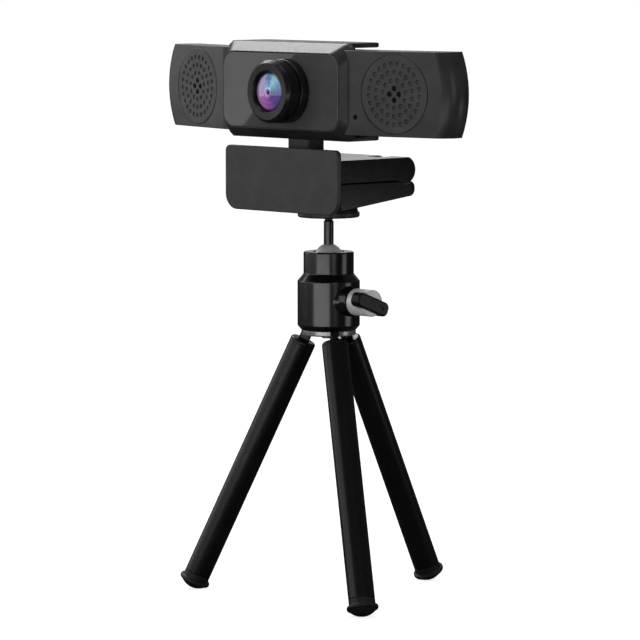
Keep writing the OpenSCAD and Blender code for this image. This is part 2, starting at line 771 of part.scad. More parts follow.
// Room for the neck and the lens in the middle of the bar.
module neck_pocket() {
    translate([0, neck_y, -bar_h]) block([-neck_w / 2 - 3, -knuckle_r - 2.6, 0], [neck_w / 2 + 3, knuckle_r + 2.6, bar_h]);
}

module bar_front() {
    color([0.06, 0.06, 0.065]) difference() {
        on_camera() difference() {
            shell_half(true);
            translate([lens_x, 0, 0]) rod_y(lens_hole_r(), bar_y - 5, bar_split + 5);
            intersection() {
                neck_pocket();
                block([-40, bar_y - 1, -bar_h], [40, bar_split + 30, -bar_h / 2 + shell_wall + 1]);
            }
        }
        for (side = [-1, 1]) on_wing(side) translate([grille_u(), 0, 0]) {
            rod_y(grille_r + seam / 2, -1, grille_t);
            rod_y(grille_r - 1.2, -1, shell_wall + 1);
        }
        on_wing(1) translate([led_u(), 0, led_z - lens_z]) rod_y(led_r + seam / 4, -2, 4);
    }
}

function lens_hole_r() = 8.2;
function grille_u() = (grille_x - root_x) / cos(wing_sweep);
function led_u() = (led_x - root_x) / cos(wing_sweep);

module bar_rear() {
    color([0.05, 0.05, 0.055]) on_camera() difference() {
        union() {
            shell_half(false);
            // pad that the block's plates are screwed to
            for (m = [0, 1]) mirror([0, 0, m])
                block([-screw_x - 4, bar_back - 6, bar_h / 2 - shell_wall], [screw_x + 4, bar_back, block_h / 2 - block_plate_t]);
        }
        intersection() {
            neck_pocket();
            block([-40, bar_y - 1, -bar_h], [40, bar_back + 30, -bar_h / 2 + shell_wall + 1]);
        }
        translate([0, 0, gland_z()]) rod_y(gland_r(), bar_back - 5, bar_back + hump_deep + 5);
        for (x = [-screw_x, screw_x], m = [-1, 1]) translate([x, 0, m * (block_h / 2 - 4)]) translate([0, bar_back - 3, 0])
            rotate([m > 0 ? 0 : 180, 0, 0]) cylinder(r = 0.8, h = 5);
    }
}

function gland_r() = 3.2;
function gland_z() = 2;

module block_frame() {
    half_w = block_w / 2;
    half_h = block_h / 2;
    color([0.1, 0.1, 0.105]) on_camera() difference() {
        union() {
            hull() {
                upright(panel_y + 0.2, panel_y + 0.6) rounded(panel_w + 0.8, panel_h + 0.8, panel_r + 0.4, $fn = 32);
                upright(block_y - 0.6, block_y) rounded(block_w, block_h, 3, $fn = 32);
            }
            for (m = [0, 1]) mirror([0, 0, m])
                block([-half_w, block_y - eps, half_h - block_plate_t], [half_w, block_y + block_deep, half_h]);
        }
        // the bar passes behind the tapered front
        block([-half_w - 1, bar_y - seam, -bar_h / 2 - seam * 3], [half_w + 1, block_y + 1, bar_h / 2 + seam * 3]);
        // seat of the front panel
        upright(panel_y - 1, panel_y + panel_t) rounded(panel_w + seam, panel_h + seam, panel_r + seam / 2);
        translate([lens_x, 0, 0]) rod_y(lens_r + seam, panel_y - 1, panel_y + panel_t + 0.8);
        translate([lens_x, 0, 0]) rod_y(lens_hole_r(), panel_y - 1, block_y + 1);
        translate([0, neck_y, -block_h]) block([-neck_w / 2 - 0.8, -6.4, 0], [neck_w / 2 + 0.8, 6.4, block_h / 2 + block_plate_t + 1]);
        for (m = [0, 1]) mirror([0, 0, m]) for (side = [-1, 1])
            translate([side * half_w, block_y + block_deep, 0]) rotate([0, 0, 45])
                cube([6, 6, 4 * block_h], center = true);
        for (x = [-screw_x, screw_x]) translate([x, bar_back - 3, -block_h]) cylinder(r = 1.1, h = 2 * block_h);
    }
}

module front_panel() {
    color([0.16, 0.16, 0.17]) on_camera() difference() {
        upright(panel_y, panel_y + panel_t) rounded(panel_w, panel_h, panel_r);
        translate([lens_x, 0, 0]) rod_y(lens_r + seam / 2, panel_y - 1, panel_y + panel_t + 1);
    }
}

// ---------------------------------------------------------------- lens
// Rings about the lens axis: points are [radius, distance back from the panel face].
module lens_turned(points) {
    on_camera() translate([lens_x, panel_y, 0]) rotate([-90, 0, 0]) rotate_extrude() polygon(points);
}

module lens_base() {
    out = -lens_base_l;
    color([0.04, 0.04, 0.045]) lens_turned([
        [10.2, panel_t + 0.8], [lens_r, panel_t + 0.8], [lens_r, out + 0.3], [lens_r - 0.3, out],
        [10.2, out]
    ]);
}

module focus_ring() {
    out = -lens_base_l - 0.15;
    front = -lens_out;
    color([0.03, 0.03, 0.035]) lens_turned([
        [8.6, out + 3.2], [10.2 - gap, out + 3.2], [10.2 - gap, out - 0.7], [lens_r - 0.2, out - 0.9],
        [lens_r - 0.2, front + 1.2], [lens_r - 0.9, front + 0.2], [lens_r - 1.6, front],
        [glass_r + 1.1, front + 0.5], [glass_r + 0.3, front + 2.2], [glass_r + 0.3, front + 4.2],
        [8.6, front + 4.2]
    ]);
}

module front_glass() {
    sag = 1.3;
    thick = 1.8;
    dome_r = (glass_r * glass_r + sag * sag) / (2 * sag);
    color([0.3, 0.25, 0.6, 0.6]) on_camera() translate([lens_x, panel_y - lens_out + 2.3, 0]) rotate([-90, 0, 0])
        intersection() {
            translate([0, 0, dome_r - 0.1]) sphere(r = dome_r, $fn = 120);
            translate([0, 0, -1]) cylinder(r = glass_r + 0.3 - fit, h = thick + 1);
        }
}

module lens_holder() {
    color("dimgray") lens_turned([
        [4.2, -5], [8, -5], [8, 6.6], [7, 6.6], [7, 9.2], [5.6, 9.2], [5.6, 4], [4.2, 4]
    ]);
}

module rear_element() {
    r = 4.2 - fit;
    color([0.35, 0.4, 0.6, 0.6]) on_camera() translate([lens_x, panel_y - 4.6, 0]) rotate([-90, 0, 0])
        intersection() {
            translate([0, 0, 9]) sphere(r = 9);
            cylinder(r = r, h = 2.4);
        }
}

module sensor_board() {
    color([0.05, 0.25, 0.12]) on_camera() translate([lens_x, 0, 0])
        upright(panel_y + 9.2, panel_y + 10.4) rounded(24, 20, 1.5);
}

module image_sensor() {
    color([0.1, 0.1, 0.14]) on_camera() translate([lens_x, 0, 0])
        upright(panel_y + 7.6, panel_y + 9.2) square([7, 6], center = true);
}

// ---------------------------------------------------------------- grilles and small parts
// Radius and hole count of each ring of blind dimples, outermost first.
DIMPLE_RINGS = [[0.77, 25], [0.56, 18], [0.35, 11]];

module grille(side) {
    color([0.05, 0.05, 0.055]) on_wing(side) translate([grille_u(), 0, 0]) difference() {
        rod_y(grille_r, 0, grille_t);
        for (ring = DIMPLE_RINGS, i = [0 : ring[1] - 1]) rotate([0, i * 360 / ring[1], 0])
            translate([0, 0, ring[0] * grille_r]) rod_y(dimple_d / 2, -1, dimple_deep, $fn = 20);
        for (i = [0 : 3]) rotate([0, i * 90, 0])
            translate([0, 0, 0.145 * grille_r]) rod_y(dimple_d / 2, -1, grille_t + 1, $fn = 20);
    }
}

module microphones() {
    color("silver") for (side = [-1, 1]) on_wing(side) translate([grille_u(), 0, 0])
        rod_y(4, grille_t, grille_t + 2.6);
}

module main_board() {
    color([0.05, 0.3, 0.14]) on_camera()
        upright(bar_split + 1, bar_split + 2.2) translate([0, 5]) rounded(42, 15, 1);
}

module led_pipe() {
    color([0.75, 0.8, 0.85]) on_wing(1) translate([led_u(), 0, led_z - lens_z]) {
        rod_y(led_r, 0, shell_wall + eps);
        rod_y(led_r + 0.5, shell_wall, shell_wall + 2);
    }
}

// Rubber grommet at the cable's inlet.
module usb_socket_gland() {
    back = bar_back + hump_deep;
    color("black") on_camera() translate([0, 0, gland_z()]) difference() {
        union() {
            rod_y(gland_r() - seam / 2, back - shell_wall, back + eps);
            rod_y(gland_r() + 1, back, back + 1.2);
        }
        rod_y(1.8, back - 5, back + 5);
    }
}

module case_screws() {
    color("silver") on_camera() for (x = [-screw_x, screw_x], m = [0, 1]) mirror([0, 0, m]) translate([x, bar_back - 3, 0]) {
        translate([0, 0, block_h / 2 - 0.9]) cylinder(r = 1, h = 0.8);
        translate([0, 0, block_h / 2 - 4]) cylinder(r = 0.75, h = 3.2);
    }
}

head_body();
leg_hub();
retaining_ring();
hub_screw();
pivot_pins();
ball_seat();
clamp_screw();
clamp_knob();
thumb_lever();
leg_plug(0);  // leg_plug_left
leg_plug(1);  // leg_plug_right
leg_plug(2);  // leg_plug_rear
leg_tube(0);  // leg_tube_left
leg_tube(1);  // leg_tube_right
leg_tube(2);  // leg_tube_rear
leg_sleeve(0);  // leg_sleeve_left
leg_sleeve(1);  // leg_sleeve_right
leg_sleeve(2);  // leg_sleeve_rear
inner_tube(0);  // inner_tube_left
inner_tube(1);  // inner_tube_right
inner_tube(2);  // inner_tube_rear
slide_stop(0);  // slide_stop_left
slide_stop(1);  // slide_stop_right
slide_stop(2);  // slide_stop_rear
foot(0);  // foot_left
foot(1);  // foot_right
foot(2);  // foot_rear
ball_stem();
mounting_plate();
mounting_pad();
camera_screw();
lower_leaf();
thread_insert();
clip_hinge_pin();
upper_leaf();
clip_pad();
swivel_screw();
neck();
tilt_pin();
bar_front();
bar_rear();
block_frame();
front_panel();
tilt_bracket();
lens_base();
lens_holder();
rear_element();
sensor_board();
image_sensor();
focus_ring();
front_glass();
grille(-1);  // grille_left
grille(1);  // grille_right
microphones();
main_board();
led_pipe();
usb_socket_gland();
case_screws();
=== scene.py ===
"""Desk webcam with a monitor clip on a small three-legged stand: finishes and modelled pieces."""

import json
import logging
import math
from collections.abc import Sequence
from dataclasses import dataclass
from enum import Enum

import bmesh
import bpy
from bmesh.types import BMesh
from mathutils import Matrix, Vector


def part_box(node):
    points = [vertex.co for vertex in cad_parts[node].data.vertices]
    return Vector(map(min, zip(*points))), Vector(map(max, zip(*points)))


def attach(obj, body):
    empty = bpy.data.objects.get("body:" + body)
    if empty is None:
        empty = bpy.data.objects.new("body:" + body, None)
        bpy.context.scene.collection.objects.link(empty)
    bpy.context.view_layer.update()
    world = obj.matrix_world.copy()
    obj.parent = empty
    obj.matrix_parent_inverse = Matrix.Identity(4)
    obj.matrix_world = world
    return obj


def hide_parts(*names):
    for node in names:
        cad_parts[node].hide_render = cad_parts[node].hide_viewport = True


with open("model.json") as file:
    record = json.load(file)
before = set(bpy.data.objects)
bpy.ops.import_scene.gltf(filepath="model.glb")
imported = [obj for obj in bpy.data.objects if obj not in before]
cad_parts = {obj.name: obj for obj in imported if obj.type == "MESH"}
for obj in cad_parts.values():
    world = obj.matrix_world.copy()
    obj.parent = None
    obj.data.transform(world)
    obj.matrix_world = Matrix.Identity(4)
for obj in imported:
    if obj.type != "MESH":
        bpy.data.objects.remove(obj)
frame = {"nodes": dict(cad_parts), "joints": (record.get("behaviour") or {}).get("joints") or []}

MM = 0.001
TINY = 1e-7
LAID_BACK = Matrix.Rotation(math.pi / 2, 4, "X")
ALONG_X = Matrix(((0, 0, 1, 0), (1, 0, 0, 0), (0, 1, 0, 0), (0, 0, 0, 1)))
Point = tuple[float, float]
Range = tuple[float, float]
Tree = bpy.types.NodeTree
Socket = bpy.types.NodeSocket
Colour = tuple[float, float, float]
log = logging.getLogger("webcam")


# ---------------------------------------------------------------- outlines
@dataclass(frozen=True)
class Corner:
    """One corner of an outline in its own two directions, rounded by a radius."""

    a: float
    b: float
    r: float = 0.0


def outline(corners: Sequence[Corner], closed: bool = True, steps: int = 6) -> list[Point]:
    """Follows corners and replaces each one that has a radius by an arc.

    Args:
        corners: the corners in order.
        closed: True when the last corner leads back to the first.
        steps: straight pieces in each arc.

    Returns:
        The points of the rounded outline.
    """
    points: list[Point] = []
    for i, corner in enumerate(corners):
        at = Vector((corner.a, corner.b))
        ends = not closed and i in (0, len(corners) - 1)
        if corner.r <= 0 or ends:
            points.append((at.x, at.y))
            continue
        last, following = corners[i - 1], corners[(i + 1) % len(corners)]
        back = (Vector((last.a, last.b)) - at).normalized()
        ahead = (Vector((following.a, following.b)) - at).normalized()
        half = back.angle(ahead) / 2
        centre = at + (back + ahead).normalized() * corner.r / math.sin(half)
        start = at + back * corner.r / math.tan(half) - centre
        turn = start.angle_signed(at + ahead * corner.r / math.tan(half) - centre)
        for step in range(steps + 1):
            spoke = start.copy()
            spoke.rotate(Matrix.Rotation(-turn * step / steps, 2))
            points.append((centre.x + spoke.x, centre.y + spoke.y))
    return points


def rounded_box(width: float, height: float, r: float, steps: int = 8) -> list[Point]:
    """Outline of a rectangle about the origin with four round corners.

    Args:
        width: size along the first direction.
        height: size along the second.
        r: radius of each corner.
        steps: straight pieces in each corner.

    Returns:
        The points of the outline.
    """
    half_w, half_h = width / 2, height / 2
    signs = ((1, -1), (1, 1), (-1, 1), (-1, -1))
    return outline([Corner(sx * half_w, sz * half_h, r) for sx, sz in signs], steps=steps)


# ---------------------------------------------------------------- solid shapes
def closed_up(shape: BMesh) -> BMesh:
    """Merges doubled points of a shape and turns its faces outward."""
    bmesh.ops.remove_doubles(shape, verts=shape.verts, dist=TINY)
    bmesh.ops.recalc_face_normals(shape, faces=shape.faces)
    return shape


def placed(shape: BMesh, matrix: Matrix) -> BMesh:
    """Moves a shape by a matrix and hands it back."""
    bmesh.ops.transform(shape, matrix=matrix, verts=shape.verts)
    return shape
def moved(shape: BMesh, x: float = 0.0, y: float = 0.0, z: float = 0.0) -> BMesh:
    """Shifts a shape and hands it back."""
    return placed(shape, Matrix.Translation((x, y, z)))

def turned(corners: Sequence[Corner], segments: int = 96, ring: bool = False, steps: int = 5) -> BMesh:
    """Spins a profile of radius and height about Z.

    Args:
        corners: profile corners, a the radius and b the height.
        segments: steps of the full turn.
        ring: True when the profile closes on itself and leaves a hole.
        steps: straight pieces in each rounded corner.

    Returns:
        A closed solid of revolution.
    """
    shape = bmesh.new()
    verts = [shape.verts.new((r, 0, z)) for r, z in outline(corners, closed=ring, steps=steps)]
    follow = verts[1:] + verts[:1] if ring else verts[1:]
    edges = [shape.edges.new(pair) for pair in zip(verts, follow)]
    bmesh.ops.spin(shape, geom=verts + edges, cent=(0, 0, 0), axis=(0, 0, 1), dvec=(0, 0, 0),
                   angle=math.tau, steps=segments, use_merge=True)
    return closed_up(shape)
def drum(r: float, low: float, high: float, low_rim: float = 0.0, high_rim: float = 0.0,
         segments: int = 96) -> BMesh:
    """Makes a solid disc about Z.

    Args:
        r: its radius.
        low: height of the underside.
        high: height of the top.
        low_rim: radius that rounds the lower rim.
        high_rim: radius that rounds the upper rim.
        segments: steps of the full turn.

    Returns:
        A closed solid of revolution.
    """
    return turned([Corner(0, low), Corner(r, low, low_rim), Corner(r, high, high_rim), Corner(0, high)],
                  segments)


def bevel_edges(shape: BMesh, edges: Sequence[bmesh.types.BMEdge], width: float, segments: int) -> None:
    """Rounds the given edges of a shape.

    Args:
        shape: the shape.
        edges: its edges that are rounded.
        width: how far each rounding reaches.
        segments: steps of each rounding.
    """
    bmesh.ops.bevel(shape, geom=list(edges), offset=width, offset_type="OFFSET", affect="EDGES",
                    segments=segments, profile=0.5, material=-1, clamp_overlap=True)


def slab(points: Sequence[Point], low: float, high: float, rim: float = 0.0, segments: int = 3) -> BMesh:
    """Raises an outline from low to high along Z and rounds both rims.

    Args:
        points: the outline in X and Y.
        low: height of the underside.
        high: height of the top.
        rim: radius of the rounding along both rims.
        segments: steps of that rounding.

    Returns:
        A closed slab.
    """
    shape = bmesh.new()
    face = shape.faces.new([shape.verts.new((x, y, low)) for x, y in points])
    raised = bmesh.ops.extrude_face_region(shape, geom=[face])["geom"]
    top = [item for item in raised if isinstance(item, bmesh.types.BMVert)]
    bmesh.ops.translate(shape, verts=top, vec=(0, 0, high - low))
    closed_up(shape)
    if rim:
        flat = [e for e in shape.edges if abs(e.verts[0].co.z - e.verts[1].co.z) < TINY]
        bevel_edges(shape, flat, rim, segments)
    return shape


def soft_box(low: Sequence[float], high: Sequence[float], rim: float = 0.0, segments: int = 3) -> BMesh:
    """Box from its lowest to its highest corner, with every edge rounded by the rim.

    Args:
        low: the lowest corner.
        high: the highest corner.
        rim: radius along every edge, 0 for sharp ones.
        segments: steps of that rounding.

    Returns:
        The box.
    """
    shape = bmesh.new()
    bmesh.ops.create_cube(shape, size=1)
    low, high = Vector(low), Vector(high)
    bmesh.ops.scale(shape, vec=high - low, verts=shape.verts)
    bmesh.ops.translate(shape, vec=(low + high) / 2, verts=shape.verts)
    if rim:
        bevel_edges(shape, shape.edges[:], rim, segments)
    return shape


def lofted(loops: Sequence[Sequence[Vector]]) -> BMesh:
    """Bridges closed loops of equal count, one after another, and caps both ends.

    Args:
        loops: the loops, each a list of points.

    Returns:
        A closed solid.
    """
    shape = bmesh.new()
    rings = []
    for loop in loops:
        verts = [shape.verts.new(point) for point in loop]
        rings.append([shape.edges.new(pair) for pair in zip(verts, verts[1:] + verts[:1])])
    for near, far in zip(rings, rings[1:]):
        bmesh.ops.bridge_loops(shape, edges=near + far)
    for ring in (rings[0], rings[-1]):
        bmesh.ops.contextual_create(shape, geom=ring)
    return closed_up(shape)


def as_mesh(shape: BMesh, name: str) -> bpy.types.Mesh:
    """Turns a shape into a mesh and frees the shape.

    Args:
        shape: the shape; it is freed.
        name: the mesh's name.

    Returns:
        The mesh.
    """
    mesh = bpy.data.meshes.new(name)
    shape.to_mesh(mesh)
    shape.free()
    return mesh


def in_scene(name: str, data: bpy.types.ID) -> bpy.types.Object:
    """Makes an object of some data and links it to the scene."""
    thing = bpy.data.objects.new(name, data)
    bpy.context.scene.collection.objects.link(thing)
    return thing


def joined(shapes: Sequence[BMesh]) -> BMesh:
    """Puts several shapes into one and frees the others.

    Args:
        shapes: the shapes; they are freed.

    Returns:
        One shape that holds them all.
    """
    whole = bmesh.new()
    for shape in shapes:
        mesh = as_mesh(shape, "part")
        whole.from_mesh(mesh)
        bpy.data.meshes.remove(mesh)
    return whole


class Cut(Enum):
    """What a boolean does with its second shape."""

    AWAY = "DIFFERENCE"
    ONTO = "UNION"


def combined(body: BMesh, tool: BMesh, cut: Cut = Cut.AWAY) -> BMesh:
    """Cuts a tool out of a body, or grows it on, with the exact solver.

    Args:
        body: the shape that is changed; it is freed.
        tool: the shape that is cut away or added; it is freed.
        cut: which of the two.

    Returns:
        The new shape.
    """
    objects = [in_scene("boolean", as_mesh(shape, "boolean")) for shape in (body, tool)]
    modifier = objects[0].modifiers.new("cut", "BOOLEAN")
    modifier.object = objects[1]
    modifier.operation = cut.value
    modifier.solver = "EXACT"
    graph = bpy.context.evaluated_depsgraph_get()
    made = bpy.data.meshes.new_from_object(objects[0].evaluated_get(graph))
    result = bmesh.new()
    result.from_mesh(made)
    for mesh in [made, *(o.data for o in objects)]:
        bpy.data.meshes.remove(mesh)
    return closed_up(result)


# ---------------------------------------------------------------- finishes
def feed(tree: Tree, socket: Socket, value: object) -> None:
    """Sets a socket to a value, or links it to a source socket.

    Args:
        tree: the node tree.
        socket: the input.
        value: a value or a source socket.
    """
    if isinstance(value, Socket):
        tree.links.new(value, socket)
    else:
        socket.default_value = value


def add_node(tree: Tree, kind: str, **inputs: object) -> bpy.types.Node:
    """Adds a shader node and sets its named inputs.

    Args:
        tree: the node tree.
        kind: the node's type name, without ShaderNode.
        inputs: socket names, with spaces as underscores, and their values or source sockets.

    Returns:
        The new node.
    """
    node = tree.nodes.new(f"ShaderNode{kind}")
    for name, value in inputs.items():
        feed(tree, node.inputs[name.replace("_", " ")], value)
    return node


def operate(tree: Tree, kind: str, operation: str, *values: object) -> Socket:
    """Adds a math node of one operation.

    Args:
        tree: the node tree.
        kind: Math or VectorMath.
        operation: the operation's name.
        values: a value or a source socket for each input that is in use, in order.

    Returns:
        The result's socket.
    """
    node = tree.nodes.new(f"ShaderNode{kind}")
    node.operation = operation
    for socket, value in zip((s for s in node.inputs if s.enabled), values):
        feed(tree, socket, value)
    return next(s for s in node.outputs if s.enabled)


def combined_shaders(tree: Tree, kind: str, *inputs: object) -> Socket:
    """Adds a Mix or Add shader with its inputs in order and returns its result.

    Args:
        tree: the node tree.
        kind: Mix or Add.
        inputs: a value or a source socket for each input, in order.

    Returns:
        The result's socket.
    """
    node = tree.nodes.new(f"ShaderNode{kind}Shader")
    for socket, value in zip(node.inputs, inputs):
        feed(tree, socket, value)
    return node.outputs[0]


def noise(tree: Tree, place: Socket, size: float, detail: float, into: Range | None = None,
          between: Range = (0.3, 0.7)) -> Socket:
    """Adds a noise pattern.

    Args:
        tree: the node tree.
        place: the coordinates it reads.
        size: size of its clouds.
        detail: how many finer layers it has.
        into: the two values that its range is mapped to, or None for the plain pattern.
        between: the part of its range that is mapped.

    Returns:
        The socket of the pattern's value.
    """
    plain = add_node(tree, "TexNoise", Vector=place, Scale=1 / size, Detail=detail).outputs["Fac"]
    if into is None:
        return plain
    return add_node(tree, "MapRange", Value=plain, From_Min=between[0], From_Max=between[1], To_Min=into[0],
                    To_Max=into[1]).outputs["Result"]


@dataclass(frozen=True)
class Finish:
    """A moulded, painted or metal surface with its own grain, mottle and uneven polish."""

    slot: str
    colour: Colour
    roughness: float
    metallic: float = 0.0
    specular: float = 0.5
    coat: float = 0.0
    grain_size: float = 0.12 * MM
    grain: float = 0.15
    mottle: float = 0.25
    uneven: float = 0.06
    name: str = ""
    coat_roughness: float = 0.04
    cloud_size: float = 9 * MM
    wear_size: float = 2.2 * MM
    grain_deep: float = 0.02 * MM

    def material(self) -> bpy.types.Material:
        """Returns this finish's material, made the first time it is asked for."""
        title = f"{self.name or self.slot}_finish"
        found = bpy.data.materials.get(title)
        if found:
            return found
        material = bpy.data.materials.new(title)
        material.use_nodes = True
        tree = material.node_tree
        shader = tree.nodes["Principled BSDF"]
        for socket, value in (("Metallic", self.metallic), ("Specular IOR Level", self.specular),
                              ("Coat Weight", self.coat), ("Coat Roughness", self.coat_roughness)):
            shader.inputs[socket].default_value = value
        place = add_node(tree, "TexCoord").outputs["Object"]
        self.paint(tree, shader, place)
        return material

    def paint(self, tree: Tree, shader: bpy.types.Node, place: Socket) -> None:
        """Wires colour mottle, uneven polish and grain into a shader.

        Args:
            tree: the material's node tree.
            shader: its principled shader.
            place: object coordinates.
        """
        tone = noise(tree, place, self.cloud_size, 5.0, (1 - self.mottle, 1 + self.mottle))
        feed(tree, shader.inputs["Base Color"], operate(tree, "VectorMath", "SCALE", self.colour, tone))
        polish = (self.roughness - self.uneven, self.roughness + self.uneven)
        feed(tree, shader.inputs["Roughness"], noise(tree, place, self.wear_size, 6.0, polish))
        bump = add_node(tree, "Bump", Height=noise(tree, place, self.grain_size, 3.0), Strength=self.grain,
                        Distance=self.grain_deep)
        feed(tree, shader.inputs["Normal"], bump.outputs["Normal"])


@dataclass(frozen=True)
class LensWithPaintedReflections(Finish):
    """Dark lens glass with the coating's violet, blue and cyan reflections painted round the lens axis, and
    rings out from it for the inner elements, with a painted highlight ring near the middle and darker towards
    the rim.
    """

    centre: tuple[float, float, float] = (0.0, 0.0, 0.0)
    radius: float = 8 * MM
    dust_size: float = 0.6 * MM

    def paint(self, tree: Tree, shader: bpy.types.Node, place: Socket) -> None:
        """Wires the painted coating reflections round the axis, and rings out from it with a painted
        highlight ring.

        Args:
            tree: the material's node tree.
            shader: its principled shader.
            place: object coordinates.
        """
        middle = operate(tree, "VectorMath", "SUBTRACT", place, self.centre)
        axes = add_node(tree, "SeparateXYZ", Vector=middle)
        face = add_node(tree, "CombineXYZ", X=axes.outputs["X"], Y=axes.outputs["Z"]).outputs["Vector"]
        spoke = add_node(tree, "TexGradient", Vector=face)
        spoke.gradient_type = "RADIAL"
        # Painted reflections: the coating's violet, blue and cyan colours are fixed by angle round the lens
        # axis.
        painted_reflection_hues = self.ramp(tree, spoke.outputs["Fac"], (
            (0.0, (0.36, 0.24, 0.52)), (0.10, (0.52, 0.20, 0.58)), (0.22, (0.40, 0.14, 0.50)),
            (0.36, (0.14, 0.09, 0.30)), (0.50, (0.12, 0.12, 0.40)), (0.58, (0.14, 0.36, 0.58)),
            (0.65, (0.28, 0.66, 0.80)), (0.74, (0.16, 0.30, 0.62)), (0.86, (0.32, 0.28, 0.60)),
            (1.0, (0.36, 0.24, 0.52))))
        share = operate(tree, "Math", "DIVIDE", operate(tree, "VectorMath", "LENGTH", face), self.radius)
        # Ring greys: the values above 1 between 0.16 and 0.22 paint a highlight ring, and the greys fall off
        # towards the rim.
        ring_greys_and_painted_highlight = ((0.0, 0.25), (0.13, 0.3), (0.16, 1.6), (0.22, 1.5), (0.27, 0.7), (0.38, 1.0), (0.41, 0.7),
                 (0.58, 1.05), (0.62, 0.75), (0.82, 0.95), (0.88, 0.4), (0.96, 0.04))
        rings = self.ramp(tree, share, [(stop, (grey,) * 3) for stop, grey in ring_greys_and_painted_highlight])
        feed(tree, shader.inputs["Base Color"], operate(tree, "VectorMath", "MULTIPLY", painted_reflection_hues, rings))
        polish = (self.roughness, self.roughness + self.uneven)
        feed(tree, shader.inputs["Roughness"], noise(tree, place, self.dust_size, 4.0, polish, (0.4, 0.8)))

    @staticmethod
    def ramp(tree: Tree, share: Socket,
             stops: Sequence[tuple[float, Colour]]) -> Socket:
        """Adds a colour ramp and returns its colour.

        Args:
            tree: the material's node tree.
            share: the value that runs along the ramp.
            stops: each stop's place from 0 to 1 and its colour.

        Returns:
            The ramp's colour socket.
        """
        node = add_node(tree, "ValToRGB", Fac=share)
        elements = node.color_ramp.elements
        while len(elements) < len(stops):
            elements.new(1.0)
        for element, (place, colour) in zip(elements, stops):
            element.position = place
            element.color = (*colour, 1.0)
        return node.outputs["Color"]


BLACK_GLOSS = Finish("black_gloss", (0.003, 0.003, 0.0033), 0.21, specular=0.8, grain=0.02, uneven=0.02)
LEG_PAINT = Finish("black_gloss", (0.003, 0.003, 0.0033), 0.3, specular=0.4, grain=0.04, uneven=0.03,
                   name="leg_paint")
BLACK_PLASTIC = Finish("black_plastic", (0.02, 0.02, 0.0205), 0.34, grain=0.08, uneven=0.03)
SIDE_GLOSS = Finish("black_plastic", (0.004, 0.0045, 0.005), 0.16, specular=0.4, grain=0.03, uneven=0.02,
                    name="polished_plastic")
GREY_PLASTIC = Finish("grey_plastic", (0.025, 0.025, 0.026), 0.38, specular=0.55, grain=0.25)
PANEL_GLOSS = Finish("panel_gloss", (0.058, 0.058, 0.059), 0.015, grain=0.0, mottle=0.1, uneven=0.005)
LENS_BLACK = Finish("lens_black", (0.005, 0.005, 0.0055), 0.3, grain=0.06)
GRILLE_BLACK = Finish("grille_black", (0.027, 0.027, 0.0275), 0.4, grain=0.3)
RUBBER = Finish("rubber", (0.008, 0.008, 0.008), 0.42, specular=0.35, grain=0.4, grain_size=0.2 * MM)
STEEL = Finish("steel", (0.60, 0.61, 0.62), 0.2, metallic=1.0, grain=0.1, mottle=0.06, uneven=0.05)
SATIN_STEEL = Finish("steel", (0.34, 0.35, 0.36), 0.34, metallic=1.0, mottle=0.1, name="satin_steel")
DARK_STEEL = Finish("steel", (0.05, 0.05, 0.053), 0.16, metallic=1.0, grain=0.05, mottle=0.1, uneven=0.03,
                    name="dark_steel")
RING_STEEL = Finish("steel", (0.34, 0.34, 0.35), 0.25, metallic=0.8, grain=0.08, mottle=0.1,
                    name="ring_steel")
BALL_STEEL = Finish("steel", (0.74, 0.74, 0.75), 0.42, metallic=0.5, grain=0.1, mottle=0.08,
                    name="ball_steel")
BRASS = Finish("brass", (0.66, 0.47, 0.18), 0.3, metallic=1.0, mottle=0.12)
BOARD = Finish("board_green", (0.015, 0.09, 0.04), 0.4, mottle=0.4)
# LED light pipe near-black with little shine: painted shade, so the pinhole reads as one black dot.
LED_PAINTED_SHADE = Finish("sensor_dark", (0.002, 0.002, 0.0022), 0.5, specular=0.1, name="led_painted_shade")
SENSOR = Finish("sensor_dark", (0.03, 0.03, 0.05), 0.15)
# Microphone metal kept very dark as painted shade, so the grille's open holes read black.
MIC_METAL_IN_PAINTED_SHADE = Finish("microphone_metal", (0.06, 0.06, 0.058), 0.5, metallic=1.0)


# ---------------------------------------------------------------- pieces on the frame
def add_piece(name: str, shape: BMesh, finish: Finish, body: str, *nodes: str, sharp: float = 30.0) -> None:
    """Makes a shape an object that rides on a body and stands for some nodes.

    Args:
        name: the piece's name.
        shape: the shape, in metres in the frame; it is freed.
        finish: its finish.
        body: the body it rides on.
        nodes: the construction nodes it stands for.
        sharp: angle in degrees past which an edge shades sharp.
    """
    mesh = as_mesh(shape, name)
    mesh.polygons.foreach_set("use_smooth", [True] * len(mesh.polygons))
    mesh.set_sharp_from_angle(angle=math.radians(sharp))
    mesh.materials.append(finish.material())
    piece = in_scene(name, mesh)
    weighted = piece.modifiers.new("even_shading", "WEIGHTED_NORMAL")
    weighted.keep_sharp = True
    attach(piece, body)
    if nodes:
        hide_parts(*nodes)
    log.info("%s: %d faces on %s", name, len(mesh.polygons), body)


def dress(finish: Finish, *nodes: str) -> None:
    """Gives construction nodes that stay in view a finish.

    Args:
        finish: the finish.
        nodes: the nodes that wear it.
    """
    for name in nodes:
        node = frame["nodes"][name]
        node.data.materials.clear()
        node.data.materials.append(finish.material())


def span(node: str) -> Vector:
    """Size of a node's box."""
    low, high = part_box(node)
    return high - low


def round_box(node: str) -> tuple[Vector, Vector, float]:
    """Both corners of a round node's box and its radius."""
    low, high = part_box(node)
    return low, high, (high.x - low.x) / 2


def joint(name: str) -> dict:
    """The frame's joint of that name."""
    return next(j for j in frame["joints"] if j["name"] == name)


def pivot(name: str) -> Vector:
    """The point that a joint turns about."""
    return Vector(joint(name)["pos_m"])


def stand_axis() -> Vector:
    """The foot of the stand's upright axis."""
    seat = pivot("ball_pan")
    return Vector((seat.x, seat.y, 0))


